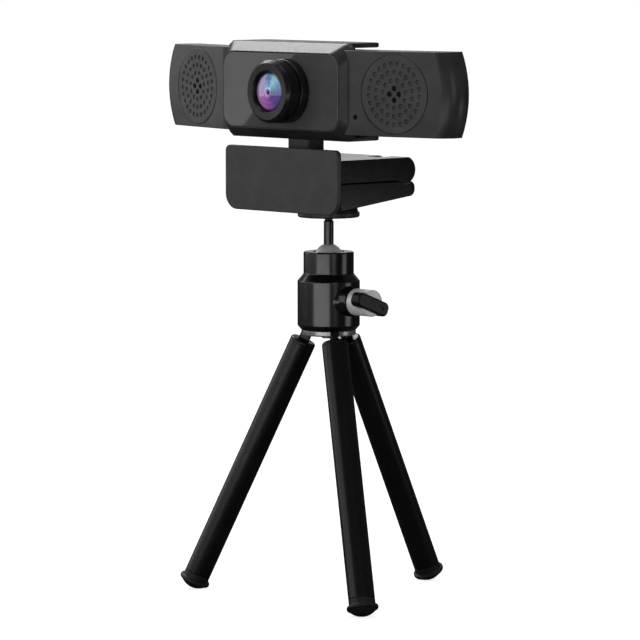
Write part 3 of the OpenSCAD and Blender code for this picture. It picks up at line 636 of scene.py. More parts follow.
class Axis(Enum):
    """Which way a turned shape's own Z points in the frame."""

    RIGHT = (1.0, 0.0, 0.0)
    BACK = (0.0, 1.0, 0.0)

    def at(self, x: float, y: float, z: float) -> Matrix:
        """Matrix that stands a shape at a point with its Z along this direction."""
        turn = Vector((0, 0, 1)).rotation_difference(Vector(self.value))
        return Matrix.Translation((x, y, z)) @ turn.to_matrix().to_4x4()


# ---------------------------------------------------------------- stand
@dataclass
class BallHead:
    """Turned head of the stand with its clamp boss, retaining ring and hub screw."""

    low_r: float = 11.9 * MM
    top_r: float = 9.6 * MM
    neck_h: float = 8.4 * MM
    cone_h: float = 2.7 * MM
    throat_r: float = 6.1 * MM
    lip_drop: float = 1.2 * MM
    ball_r: float = 5.5 * MM
    slot_w: float = 3.3 * MM
    slot_in: float = 4.2 * MM
    slot_roof: float = 0.8 * MM
    slot_wall: float = 1.3 * MM
    boss_r: float = 5.25 * MM
    screw_h: float = 1.3 * MM
    screw_slot: Point = (0.7 * MM, 0.6 * MM)
    leg_angles: tuple[float, ...] = (210.0, -30.0, 90.0)

    def __post_init__(self) -> None:
        """Reads the head's place from the frame."""
        low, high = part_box("head_body")
        self.low, self.top = low.z, high.z
        self.ball_z = pivot("ball_pan").z
        self.boss_end = high.x - stand_axis().x

    def slots(self, low: float, high: float, reach: float) -> BMesh:
        """Blocks that cut the three leg slots.

        Args:
            low: underside of the blocks.
            high: roof of the slots.
            reach: how far out they go.

        Returns:
            The three blocks about the stand's axis.
        """
        half = self.slot_w / 2
        return joined([placed(soft_box((self.slot_in, -half, low), (reach, half, high)),
                              Matrix.Rotation(math.radians(angle), 4, "Z")) for angle in self.leg_angles])

    def shell(self) -> BMesh:
        """Turned shell with an open throat for the ball."""
        cone_top = self.top - self.neck_h
        lip_z = self.top - self.lip_drop
        lip_r = math.sqrt(self.ball_r ** 2 - (lip_z - self.ball_z) ** 2) + 0.2 * MM
        seat_r = self.throat_r - 0.3 * MM
        floor = self.ball_z - self.ball_r - 0.3 * MM
        return turned([
            Corner(0, self.low), Corner(self.low_r - 1.5 * MM, self.low, 0.3 * MM),
            Corner(self.low_r, self.low + 1.7 * MM, 1.2 * MM),
            Corner(self.low_r, cone_top - self.cone_h, 0.7 * MM),
            Corner(self.top_r, cone_top, 0.7 * MM), Corner(self.top_r, self.top, 0.55 * MM),
            Corner(self.throat_r, self.top, 0.3 * MM), Corner(lip_r, lip_z, 0.2 * MM),
            Corner(seat_r, self.ball_z), Corner(seat_r, floor), Corner(0, floor)])

    def boss(self) -> BMesh:
        """Boss round the clamp screw that flares into the shell."""
        flare = [Corner(0, 4 * MM), Corner(11 * MM, 4 * MM), Corner(8.3 * MM, 8.2 * MM, 4 * MM),
                 Corner(6.0 * MM, 10.5 * MM, 7 * MM), Corner(self.boss_r, self.boss_end, 0.35 * MM),
                 Corner(0, self.boss_end)]
        return placed(turned(flare, steps=8), Axis.RIGHT.at(0, 0, pivot("clamp_turn").z))

    def build(self) -> None:
        """Makes the head, its ring and its screw."""
        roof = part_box("leg_hub")[1].z - self.slot_roof
        head = combined(self.shell(), self.boss(), Cut.ONTO)
        head = combined(head, self.slots(self.low - MM, roof, self.low_r - self.slot_wall))
        low, high, r = round_box("retaining_ring")
        ring = combined(drum(r, low.z, high.z, 0.5 * MM, 0.2 * MM),
                        self.slots(low.z - MM, high.z + MM, r + MM))
        low, _, r = round_box("hub_screw")
        half, deep = self.screw_slot[0] / 2, self.screw_slot[1]
        screw = combined(drum(r, low.z, low.z + self.screw_h, 0.4 * MM, segments=48),
                         soft_box((-r, -half, low.z - MM), (r, half, low.z + deep)))
        stand = Matrix.Translation(stand_axis())
        for name, shape, finish, node in (("stand_head", head, BLACK_GLOSS, "head_body"),
                                          ("stand_ring", ring, RING_STEEL, "retaining_ring"),
                                          ("hub_screw_head", screw, STEEL, "hub_screw")):
            add_piece(name, placed(shape, stand), finish, "stand", node)
        dress(STEEL, "pivot_pins")
        dress(SATIN_STEEL, "leg_hub")
        dress(BRASS, "ball_seat")


@dataclass
class ClampScrew:
    """Screw that locks the ball, with its round knob and thumb lever."""

    lever_tilt: float = -21.0
    lever_l: float = 16.5 * MM
    lever_h: float = 5.5 * MM
    lever_t: float = 4.7 * MM
    end_r: float = 2.2 * MM
    off: float = -0.6 * MM
    groove_l: float = 3.2 * MM
    groove_w: float = 0.9 * MM
    groove_deep: float = 0.5 * MM
    groove_out: float = 4.2 * MM

    def build(self) -> None:
        """Makes the knob and the lever."""
        axis = pivot("clamp_turn")
        low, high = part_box("clamp_knob")
        knob = drum((high.z - low.z) / 2, low.x, high.x, 0.3 * MM, 0.45 * MM, 64)
        add_piece("clamp_barrel", placed(knob, Axis.RIGHT.at(0, axis.y, axis.z)), BALL_STEEL, "clamp",
                  "clamp_knob")
        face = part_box("thumb_lever")[1].x
        bar = slab(rounded_box(self.lever_l, self.lever_h, self.end_r), face - self.lever_t, face,
                   0.7 * MM, 4)
        groove = slab(rounded_box(self.groove_l, self.groove_w, 0.44 * MM, 4), face - self.groove_deep,
                      face + MM)
        lever = combined(bar, moved(groove, self.groove_out))
        turn = Matrix.Rotation(math.radians(self.lever_tilt), 4, "X")
        place = Matrix.Translation((0, axis.y, axis.z)) @ turn @ Matrix.Translation((0, self.off, self.off))
        add_piece("clamp_lever", placed(lever, place @ ALONG_X), LEG_PAINT, "clamp", "thumb_lever")
        dress(STEEL, "clamp_screw")


@dataclass
class Leg:
    """One telescopic leg: plug, tube, sliding tube and rubber foot."""

    side: str
    tube_r: float = 5 * MM
    wall: float = 0.6 * MM
    reach: float = 106.5 * MM
    shoulder: float = 5.85 * MM
    rim_h: float = 1.5 * MM
    tang: float = 2.6 * MM
    eye_r: float = 2.7 * MM
    web: float = 2 * MM
    collar_h: float = 2.4 * MM
    foot_r: float = 5.95 * MM
    foot_rim_h: float = 1.6 * MM
    foot_rim_in: float = 0.75 * MM
    ball_r: float = 7 * MM

    def __post_init__(self) -> None:
        """Reads the leg's pivot and direction from its joints."""
        fold, extend = joint(f"leg_fold_{self.side}"), joint(f"leg_extend_{self.side}")
        along, hinge = Vector(extend["axis"]).normalized(), Vector(fold["axis"]).normalized()
        out = hinge.cross(-along)
        turn = Matrix((out, hinge, -along)).transposed().to_4x4()
        if turn.determinant() < 0:
            turn = Matrix((-out, hinge, -along)).transposed().to_4x4()
        self.place = Matrix.Translation(fold["pos_m"]) @ turn
        self.cap_r = self.foot_r - self.foot_rim_in
        self.rim_low = self.reach + math.sqrt(self.ball_r ** 2 - self.cap_r ** 2)
        self.foot_top = self.rim_low - self.foot_rim_h - self.collar_h

    def plug(self) -> BMesh:
        """Turned shoulder with the flat tang that swings on the pivot pin."""
        top, half, sides = -self.shoulder, self.tang / 2, 32
        shoulder = drum(self.tube_r, top - self.rim_h, top, 0.12 * MM, 0.85 * MM)
        eye = slab([(self.eye_r * math.cos(a * math.tau / sides), self.eye_r * math.sin(a * math.tau / sides))
                    for a in range(sides)], -half, half, 0.2 * MM, 2)
        web = soft_box((-self.web, -half, top - MM), (self.web, half, -0.5 * MM), 0.25 * MM, 2)
        return joined([shoulder, placed(eye, LAID_BACK), web])

    def tube(self) -> BMesh:
        """Outer tube from the plug down to the foot's collar."""
        start, end = -self.shoulder - self.rim_h, -self.foot_top + 0.1 * MM
        inner = self.tube_r - self.wall
        return turned([Corner(inner, start), Corner(self.tube_r, start, 0.15 * MM),
                       Corner(self.tube_r, end, 0.2 * MM), Corner(inner, end)], ring=True)

    def foot(self) -> BMesh:
        """Rubber foot, set in its place: collar, flared rim and a domed end cut flat at the ground."""
        r, rim = self.tube_r, self.foot_r
        seat = self.foot_top + self.collar_h
        widest, steps = math.asin(self.cap_r / self.ball_r), 10
        angles = [widest * (1 - i / steps) for i in range(steps + 1)]
        dome = [Corner(self.ball_r * math.sin(a), -self.reach - self.ball_r * math.cos(a)) for a in angles]
        profile = [Corner(0, -self.foot_top), Corner(r, -self.foot_top, 0.25 * MM),
                   Corner(r, -seat + 0.2 * MM, 0.2 * MM), Corner(rim, -seat - 0.1 * MM, 0.5 * MM),
                   Corner(rim, -self.rim_low, 0.7 * MM)]
        shape = placed(turned(profile + dome), self.place)
        geometry = shape.verts[:] + shape.edges[:] + shape.faces[:]
        cut = bmesh.ops.bisect_plane(shape, geom=geometry, dist=TINY, plane_co=(0, 0, 0), plane_no=(0, 0, 1),
                                     clear_inner=True)["geom_cut"]
        bmesh.ops.contextual_create(shape, geom=[e for e in cut if isinstance(e, bmesh.types.BMEdge)])
        return closed_up(shape)

    def build(self) -> None:
        """Makes the leg's visible pieces and dresses its inner ones."""
        side, leg, foot = self.side, f"leg_{self.side}", f"foot_{self.side}"
        add_piece(f"plug_{side}", placed(self.plug(), self.place), LEG_PAINT, leg, f"leg_plug_{side}",
                  sharp=32)
        add_piece(f"tube_{side}", placed(self.tube(), self.place), LEG_PAINT, leg, f"leg_tube_{side}",
                  sharp=32)
        add_piece(f"rubber_foot_{side}", self.foot(), RUBBER, foot, f"foot_{side}", sharp=32)
        dress(STEEL, f"inner_tube_{side}")
        dress(BLACK_PLASTIC, f"leg_sleeve_{side}", f"slide_stop_{side}")


@dataclass
class BallAndPlate:
    """Ball, stem and the round plate with its pad and camera screw."""

    stem_r: float = 1.9 * MM
    ball_r: float = 5.5 * MM
    tip_in: float = 0.6 * MM
    tip_h: float = 0.4 * MM
    plate_t: float = 2 * MM

    def stem(self, low: float, high: float) -> BMesh:
        """Rod from inside the ball up into the plate, thinner at its tip.

        Args:
            low: height of its lower end.
            high: height of the plate's underside.

        Returns:
            The rod about its own axis.
        """
        r, tip_r = self.stem_r, self.stem_r - self.tip_in
        return turned([Corner(0, low), Corner(r, low), Corner(r, high - 0.7 * MM, 0.3 * MM),
                       Corner(tip_r, high - 0.1 * MM), Corner(tip_r, high + self.tip_h),
                       Corner(0, high + self.tip_h)])

    def build(self) -> None:
        """Makes the ball, its stem, the plate and the pad."""
        centre = pivot("ball_tilt").z
        low, high, r = round_box("mounting_plate")
        meet, steps = math.asin(self.stem_r / self.ball_r), 40
        angles = [math.pi * i / steps for i in range(steps + 1)]
        dome = [Corner(self.ball_r * math.sin(a), centre - self.ball_r * math.cos(a))
                for a in angles if a < math.pi - meet]
        neck_z = centre + self.ball_r * math.cos(meet)
        ball = turned([*dome, Corner(0, neck_z)])
        under = high.z - self.plate_t
        plate = turned([Corner(0, low.z), Corner(1.6 * MM, low.z, 0.1 * MM),
                        Corner(2.85 * MM, under, 0.3 * MM), Corner(r - 0.4 * MM, under, 0.3 * MM),
                        Corner(r, under + 0.5 * MM, 0.2 * MM), Corner(r, high.z, 0.25 * MM),
                        Corner(0, high.z)])
        stem = self.stem(neck_z - 0.2 * MM, low.z)
        low, high, r = round_box("mounting_pad")
        pad = drum(r, low.z, high.z, 0.0, 0.2 * MM)
        place = Matrix.Translation(stand_axis())
        for name, shape, finish, *nodes in (("stem_ball", ball, BALL_STEEL, "ball_stem"),
                                            ("ball_stem_rod", stem, DARK_STEEL),
                                            ("camera_plate", plate, BLACK_PLASTIC, "mounting_plate"),
                                            ("camera_plate_pad", pad, RUBBER, "mounting_pad")):
            add_piece(name, placed(shape, place), finish, "ball", *nodes)
        dress(STEEL, "camera_screw")
        dress(BRASS, "thread_insert")


# ---------------------------------------------------------------- monitor clip
@dataclass
class MonitorClip:
    """Two-leaf clip that folds over a screen or stands flat, hinged on a rear pin."""

    plate_t: float = 2.2 * MM
    low_r: float = 6 * MM
    top_r: float = 2.2 * MM
    lip: float = 4 * MM
    barrel_r: float = 5.1 * MM
    ear_w: float = 6 * MM
    ear_x: float = 17 * MM
    ear_in: float = 0.6 * MM
    arm: float = 2.6 * MM
    leaf_half: float = 29.4 * MM
    leaf_rim: float = 1.1 * MM
    lower_t: float = 10 * MM
    rise: float = 4.2 * MM
    gap: float = 0.3 * MM
    boss_r: float = 11 * MM
    boss_h: float = 5 * MM

    def __post_init__(self) -> None:
        """Reads the clip's place from the frame."""
        self.low, self.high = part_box("upper_leaf")
        self.pin = pivot("clip_open")
        self.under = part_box("swivel_screw")[0].z
        self.leaf_top = self.under - self.gap

    def leaf(self, side: Sequence[Point]) -> BMesh:
        """Stretches a leaf's side outline across the clip."""
        return placed(slab(side, -self.leaf_half, self.leaf_half, self.leaf_rim, 5), ALONG_X)

    def front_plate(self) -> BMesh:
        """Flat front plate with large lower and small upper corners."""
        half = self.high.x
        points = outline([Corner(half, self.low.z, self.low_r), Corner(half, self.high.z, self.top_r),
                          Corner(-half, self.high.z, self.top_r), Corner(-half, self.low.z, self.low_r)],
                         steps=12)
        return placed(slab(points, -self.low.y - self.plate_t, -self.low.y, 0.45 * MM, 4), LAID_BACK)

    def notches(self) -> BMesh:
        """Blocks where the lower leaf's ears pass through the upper leaf."""
        half = self.ear_w / 2 + self.gap
        front, back = self.pin.y - self.barrel_r - self.gap, self.high.y + MM
        return joined([soft_box((x - half, front, self.under - 6 * MM), (x + half, back, self.high.z))
                       for x in (-self.ear_x, self.ear_x)])

    def upper(self) -> BMesh:
        """Upper leaf with its rear hinge barrel, rounded along every long edge."""
        front, top = self.low.y + self.plate_t - 0.3 * MM, self.high.z - self.lip
        y, z, r = self.pin.y, self.pin.z, self.barrel_r
        start, sweep, steps = 20, 190, 24
        angles = [math.radians(start + sweep * i / steps) for i in range(steps + 1)]
        side = [Corner(front, top), Corner(y - 1.5 * MM, top, 3 * MM),
                *(Corner(y + r * math.sin(a), z + r * math.cos(a)) for a in angles),
                Corner(y - r, self.under, 0.4 * MM), Corner(front, self.under)]
        return combined(self.leaf(outline(side)), self.notches())

    def ear(self, x: float) -> list[BMesh]:
        """Hinge eye of the lower leaf at a place across the clip, and the arm that holds it.

        Args:
            x: that place.

        Returns:
            The eye and the arm.
        """
        half, (_, y, z) = self.ear_w / 2, self.pin
        eye = drum(self.barrel_r - self.ear_in, -half, half, 0.4 * MM, 0.4 * MM, 48)
        foot = self.leaf_top - 4 * MM
        arm = soft_box((x - half, y - self.arm, foot), (x + half, y + self.arm, z), 0.3 * MM)
        return [placed(eye, Axis.RIGHT.at(x, y, z)), arm]

    def lower(self) -> BMesh:
        """Lower leaf, thinning to a round back, with hinge ears and the tripod boss."""
        front, back = self.low.y + self.plate_t + 1.1 * MM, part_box("lower_leaf")[1].y
        top = self.leaf_top
        low = top - self.lower_t
        nose = (top - low - self.rise) / 2
        side = [Corner(front, top, 0.3 * MM), Corner(front, low, 1.2 * MM),
                Corner(back - nose, low + self.rise, 4 * MM),
                Corner(back, low + self.rise + 0.2 * MM, nose * 0.9), Corner(back, top, nose * 0.9)]
        relief = drum(self.barrel_r + self.gap, -0.06, 0.06)
        leaf = combined(self.leaf(outline(side, steps=10)),
                        placed(relief, Axis.RIGHT.at(0, self.pin.y, self.pin.z)))
        pad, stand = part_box("mounting_pad")[1].z, stand_axis()
        boss = moved(drum(self.boss_r, pad, pad + self.boss_h, 0.3 * MM), stand.x, stand.y)
        return joined([leaf, *self.ear(-self.ear_x), *self.ear(self.ear_x), boss])

    def build(self) -> None:
        """Makes the front plate and both leaves."""
        add_piece("clip_front_plate", self.front_plate(), GREY_PLASTIC, "clip")
        add_piece("clip_upper_leaf", self.upper(), SIDE_GLOSS, "clip", "upper_leaf")
        add_piece("clip_lower_leaf", self.lower(), SIDE_GLOSS, "ball", "lower_leaf")
        dress(RUBBER, "clip_pad")
        dress(STEEL, "clip_hinge_pin", "swivel_screw", "tilt_pin")


@dataclass
class Neck:
    """Swivel disc and the post that carries the camera's tilt pin."""

    post_w: float = 12 * MM
    post_deep: float = 8 * MM
    knuckle_r: float = 3.6 * MM
    disc_h: float = 2.5 * MM
    step_h: float = 0.9 * MM

    def build(self) -> None:
        """Makes the neck as one stepped piece."""
        low, _, r = round_box("neck")
        middle, tilt = pivot("neck_swivel"), pivot("head_tilt")
        top = low.z + self.disc_h
        step = top + self.step_h
        disc = turned([Corner(0, low.z), Corner(r, low.z), Corner(r, top, 0.4 * MM),
                       Corner(r - 1.2 * MM, top, 0.2 * MM), Corner(r - 1.6 * MM, step, 0.4 * MM),
                       Corner(0, step)])
        half, deep = self.post_w / 2, self.post_deep / 2
        post = soft_box((-half, middle.y - deep, low.z + 2 * MM), (half, middle.y + deep, tilt.z - MM),
                        0.8 * MM, 4)
        knuckle = drum(self.knuckle_r, -half, half, 0.5 * MM, 0.5 * MM, 48)
        knuckle = placed(knuckle, Axis.RIGHT.at(0, tilt.y, tilt.z))
        add_piece("swivel_neck", joined([moved(disc, middle.x, middle.y), post, knuckle]), BLACK_PLASTIC,
                  "neck", "neck")


# ---------------------------------------------------------------- camera body
@dataclass
class CameraBar:
    """Swept bar of two shells that carries the grilles, with a deeper housing at its back."""

    sweep: float = math.radians(11.5)
    root_x: float = 35 * MM
    deep: float = 13 * MM
    front_deep: float = 7 * MM
    seam: float = 0.1 * MM
    bulge: float = 3.5 * MM
    end_r: float = 7.6 * MM
    front_r: float = 6.6 * MM
    back_r: float = 5.4 * MM
    rim: float = 1.0 * MM
    hump_w: float = 46 * MM
    hump_r: float = 3 * MM
    hump_drop: float = 2.8 * MM
    room: tuple[float, float, float] = (9 * MM, 6.2 * MM, 5 * MM)
    grille_x: float = 54.2 * MM
    led_x: float = 37.2 * MM
    led_r: float = 0.9 * MM
    cable_r: float = 1.8 * MM
    inlet_lip: float = 1.2 * MM
    spare: float = 0.25 * MM

    def __post_init__(self) -> None:
        """Reads the bar's place from the frame."""
        self.low, self.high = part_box("bar_front")
        self.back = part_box("bar_rear")[1].y
        self.middle = (self.low.z + self.high.z) / 2
        self.half_h = (self.high.z - self.low.z) / 2
        span_x = self.high.x - self.root_x - self.end_r * (1 - math.sin(self.sweep))
        self.length = self.end_r + span_x / math.cos(self.sweep) - self.spare
        self.neck = pivot("head_tilt")

    def wing(self, along: float, depth: float) -> tuple[float, float]:
        """Place in plan of a point along the right wing and into its depth."""
        c, s = math.cos(self.sweep), math.sin(self.sweep)
        return self.root_x + along * c - depth * s, self.low.y + along * s + depth * c

    def on_wing(self, side: int, x: float, z: float) -> Matrix:
        """Matrix that stands a turned shape on a wing's face, its Z into the depth.

        Args:
            side: 1 for the right wing and -1 for the left.
            x: distance from the middle of the bar.
            z: height in the frame.

        Returns:
            The matrix.
        """
        along = (x - self.root_x) / math.cos(self.sweep)
        px, py = self.wing(along, 0)
        return (Matrix.Translation((side * px, py, z)) @ Matrix.Rotation(side * self.sweep, 4, "Z")
                @ Axis.BACK.at(0, 0, 0))

    def both_sides(self, right: Sequence[tuple[float, float, float]]) -> list[Point]:
        """Outline from the right half's corners, each x, y and radius, and their mirror.

        Args:
            right: corners of the right half.

        Returns:
            The whole outline.
        """
        corners = [Corner(*c) for c in right] + [Corner(-x, y, r) for x, y, r in reversed(right)]
        return outline(corners, steps=10)

    def half(self, points: Sequence[Point], seam_depth: float) -> BMesh:
        """Raises a plan outline to the bar's height, bows its ends and rounds its long edges.

        Args:
            points: the plan outline.
            seam_depth: depth of the line where the two shells meet.

        Returns:
            One shell as a closed solid.
        """
        shape = slab(points, -self.half_h, self.half_h)
        upright = [e for e in shape.edges if abs(e.verts[0].co.z - e.verts[1].co.z) > self.half_h]
        bmesh.ops.subdivide_edges(shape, edges=upright, cuts=11, use_grid_fill=False)
        ends = self.wing(self.length - 8 * MM, 0)[0]
        for vert in shape.verts:
            if abs(vert.co.x) > ends:
                bow = self.bulge * (vert.co.z / self.half_h) ** 2
                vert.co.x -= math.copysign(bow, vert.co.x)
        rims = []
        for edge in shape.edges:
            a, b = (v.co for v in edge.verts)
            flat = min(abs(a.z), abs(b.z)) >= self.half_h - TINY
            on_seam = all(abs(self.depth_of(p) - seam_depth) < 0.03 * MM for p in (a, b))
            if flat and not on_seam:
                rims.append(edge)
        bevel_edges(shape, rims, self.rim, 4)
        return moved(shape, z=self.middle)


    def depth_of(self, point: Vector) -> float:
        """Depth of a point behind the bar's swept front face.

        Args:
            point: a point of the bar.

        Returns:
            The depth.
        """
        x, y = abs(point.x) - self.root_x, point.y - self.low.y
        if x + y * math.tan(self.sweep / 2) <= 0:
            return y
        return y * math.cos(self.sweep) - x * math.sin(self.sweep)

    def bend(self, depth: float) -> tuple[float, float]:
        """Where a line at some depth turns from the middle into the wing."""
        return self.root_x - depth * math.tan(self.sweep / 2), self.low.y + depth

    def pocket(self) -> BMesh:
        """Room in the underside for the neck as the camera tilts."""
        (x, deep, rise), y = self.room, self.neck.y
        return soft_box((-x, y - deep, self.low.z - MM), (x, y + deep, self.neck.z + rise))

    def front_shell(self) -> BMesh:
        """Front shell with a chamfered seat for each grille."""
        depth = self.front_deep - self.seam / 2
        points = self.both_sides([(*self.bend(0), 2 * MM), (*self.wing(self.length, 0), self.front_r),
                                  (*self.wing(self.length, depth), 0), (*self.bend(depth), 0)])
        shell = self.half(points, depth)
        r = span("grille_right").z / 2
        seat = [Corner(0, -MM), Corner(r + 1.35 * MM, -MM), Corner(r + 0.05 * MM, 0.3 * MM),
                Corner(r + 0.05 * MM, 1.5 * MM), Corner(0, 1.5 * MM)]
        cuts = [placed(turned(seat, 128), self.on_wing(side, self.grille_x, self.middle)) for side in (-1, 1)]
        pinhole = turned([Corner(0, -MM), Corner(self.led_r + 1.1 * MM, -MM), Corner(self.led_r, 0.06 * MM),
                          Corner(self.led_r, 1.2 * MM), Corner(0, 1.2 * MM)], 24)
        led_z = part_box("led_pipe")[0].z + span("led_pipe").z / 2
        cuts.append(placed(pinhole, self.on_wing(1, self.led_x, led_z)))
        return combined(combined(shell, joined(cuts)), self.pocket())

    def rear_shell(self) -> BMesh:
        """Rear shell with the deeper housing grown onto its back."""
        near, far = self.front_deep + self.seam / 2, self.deep
        points = self.both_sides([(*self.bend(near), 0), (*self.wing(self.length, near), 0),
                                  (*self.wing(self.length, far), self.back_r), (*self.bend(far), 2 * MM)])
        height = 2 * self.half_h - self.hump_drop
        hump = slab(rounded_box(self.hump_w, height, self.hump_r), -self.back, -self.low.y - 9 * MM,
                    1.2 * MM, 5)
        place = Matrix.Translation((0, 0, self.middle - self.hump_drop / 2)) @ LAID_BACK
        return combined(combined(self.half(points, near), placed(hump, place), Cut.ONTO), self.pocket())

    def inlet(self) -> BMesh:
        """Grommet of the cable inlet: a sleeve with a wider lip at the back."""
        low, high, r = round_box("usb_socket_gland")
        hole, lip = self.cable_r, high.y - self.inlet_lip
        ring = turned([Corner(hole, low.y), Corner(r - MM, low.y), Corner(r - MM, lip, 0.1 * MM),
                       Corner(r, lip, 0.2 * MM), Corner(r, high.y, 0.5 * MM), Corner(hole, high.y, 0.4 * MM)],
                      48, ring=True)
        return placed(ring, Axis.BACK.at((low.x + high.x) / 2, 0, (low.z + high.z) / 2))

    def build(self) -> None:
        """Makes both shells and the cable inlet's grommet."""
        add_piece("bar_front_cover", self.front_shell(), BLACK_PLASTIC, "camera", "bar_front", sharp=28)
        add_piece("bar_back_cover", self.rear_shell(), BLACK_PLASTIC, "camera", "bar_rear", sharp=28)
        add_piece("cable_inlet", self.inlet(), RUBBER, "camera", "usb_socket_gland")
        for finish, *nodes in ((LED_PAINTED_SHADE, "led_pipe"), (SENSOR, "image_sensor", "rear_element"),
                               (BOARD, "main_board", "sensor_board"), (MIC_METAL_IN_PAINTED_SHADE, "microphones"),
                               (SATIN_STEEL, "tilt_bracket"), (STEEL, "case_screws")):
            dress(finish, *nodes)


@dataclass
class Grille:
    """Round microphone grille: rings of blind dimples about four open holes."""

    side: str
    bar: CameraBar
    rings: tuple[tuple[float, int], ...] = ((0.77, 25), (0.56, 18), (0.35, 11))
    holes: int = 4
    hole_ring: float = 0.145
    dimple_r: float = 0.74 * MM
    dimple_deep: float = 0.42 * MM
    hole_r: float = 1.0 * MM
    thickness: float = 1.4 * MM

    def pit(self, r: float, deep: float) -> BMesh:
        """One dimple's cutter, a round-bottomed cup with a flared mouth."""
        profile = [Corner(0, deep), Corner(r * 0.8, deep, 0.25 * MM), Corner(r, 0.16 * MM, 0.1 * MM),
                   Corner(r + 0.5 * MM, -0.34 * MM), Corner(0, -0.34 * MM)]
        return turned(profile, 16, steps=2)

    def build(self) -> None:
        """Makes the disc and cuts its dimples and holes."""
        node = f"grille_{self.side}"
        r = span(node).z / 2
        disc = drum(r, 0, self.thickness, 0.3 * MM, segments=128)
        pits = []
        rows = [(share, count, self.dimple_r, self.dimple_deep) for share, count in self.rings]
        rows.append((self.hole_ring, self.holes, self.hole_r, self.thickness + MM))
        for share, count, r_pit, deep in rows:
            for i in range(count):
                spot = Matrix.Rotation(math.tau * i / count, 4, "Z") @ Matrix.Translation((0, share * r, 0))
                pits.append(placed(self.pit(r_pit, deep), spot))
        sign = 1 if self.side == "right" else -1
        place = self.bar.on_wing(sign, self.bar.grille_x, self.bar.middle)
        add_piece(f"grille_disc_{self.side}", placed(combined(disc, joined(pits)), place), GRILLE_BLACK,
                  "camera", node)


@dataclass
class CentreBlock:
    """Tapered centre block with its glossy front panel and the two rear plates."""

    panel_t: float = 1.2 * MM
    panel_r: float = 5.4 * MM
    panel_lip: float = 0.1 * MM
    rise: float = 0.25 * MM
    block_r: float = 4.2 * MM
    plate_t: float = 1.8 * MM
    plate_in: float = 3 * MM
    taper: float = 5.6 * MM
    rear_r: float = 5 * MM
    room: Point = (6.8 * MM, 6.4 * MM)
    slack: float = 0.05 * MM

    def __post_init__(self) -> None:
        """Reads the block's place from the frame."""
        panel_low, panel_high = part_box("front_panel")
        self.low, self.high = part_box("block_frame")
        self.middle = (self.low.z + self.high.z) / 2
        self.front = panel_low.y
        self.panel_w, self.panel_h = panel_high.x - panel_low.x, panel_high.z - panel_low.z
        self.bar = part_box("bar_front")

    def ring(self, width: float, height: float, r: float, depth: float) -> list[Vector]:
        """One loop of the block at a depth behind the panel's face.

        Args:
            width: the loop's width.
            height: its height.
            r: radius of its corners.
            depth: that depth.

        Returns:
            The loop's points.
        """
        return [Vector((x, self.front + depth, self.middle + z)) for x, z in rounded_box(width, height, r)]

    def plate(self, low: float) -> BMesh:
        """Flat plate behind the taper, from a height upward, with round rear corners.

        Args:
            low: height of its underside.

        Returns:
            The plate.
        """
        half = self.high.x - self.plate_in
        near = self.front + self.taper - 0.6 * MM
        points = outline([Corner(half, near), Corner(half, self.high.y, self.rear_r),
                          Corner(-half, self.high.y, self.rear_r), Corner(-half, near)])
        return slab(points, low, low + self.plate_t, 0.5 * MM)

    def block(self) -> BMesh:
        """Tapered block about the bar, from the panel's seat back to its rounded rear edge."""
        w, h, r, lip = self.panel_w, self.panel_h, self.panel_r, self.panel_lip
        full_w, full_h = self.high.x - self.low.x, self.high.z - self.low.z
        loops = [self.ring(w + lip, h + lip, r, depth * MM) for depth in (1.3, 0.5)]
        for grow, depth in ((0.3, 0.26), (0.7, 0.22), (1.0, 0.34), (1.3, 0.62)):
            loops.append(self.ring(w + grow * MM, h + grow * MM, r + self.rise, depth * MM))
        for shrink, depth in ((1.0, -1.1), (0.45, -0.55), (0.12, 0.1), (0.0, 0.7)):
            loops.append(self.ring(full_w - shrink * MM, full_h - shrink * MM,
                                   self.block_r + shrink * MM / 2, self.taper + depth * MM))
        low, high = self.bar
        passage = soft_box((-full_w, low.y - self.slack, low.z - self.slack),
                           (full_w, low.y + 2 * self.taper, high.z + self.slack))
        return combined(lofted(loops), passage)

    def plates(self) -> BMesh:
        """Lower and upper rear plate, the lower one open for the neck."""
        both = joined([self.plate(self.low.z), self.plate(self.high.z - self.plate_t)])
        (x, deep), y = self.room, pivot("head_tilt").y
        gap = soft_box((-x, y - deep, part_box("neck")[0].z), (x, y + deep, self.bar[0].z + self.slack))
        return combined(both, gap)

    def panel(self) -> BMesh:
        """Front panel with a hole for the lens."""
        panel = slab(rounded_box(self.panel_w, self.panel_h, self.panel_r, 12), 0, self.panel_t, 0.28 * MM, 4)
        place = Matrix.Translation((0, self.front + self.panel_t, self.middle)) @ LAID_BACK
        hole = drum(round_box("lens_base")[2] + self.slack, -MM, 2 * self.panel_t)
        hole = placed(hole, Axis.BACK.at(pivot("focus_turn").x, self.front, self.middle))
        return combined(placed(panel, place), hole)

    def build(self) -> None:
        """Makes the block and the panel."""
        shell = joined([self.block(), self.plates()])
        add_piece("block_shell", shell, BLACK_PLASTIC, "camera", "block_frame", sharp=24)
        add_piece("gloss_panel", self.panel(), PANEL_GLOSS, "camera", "front_panel", sharp=12)


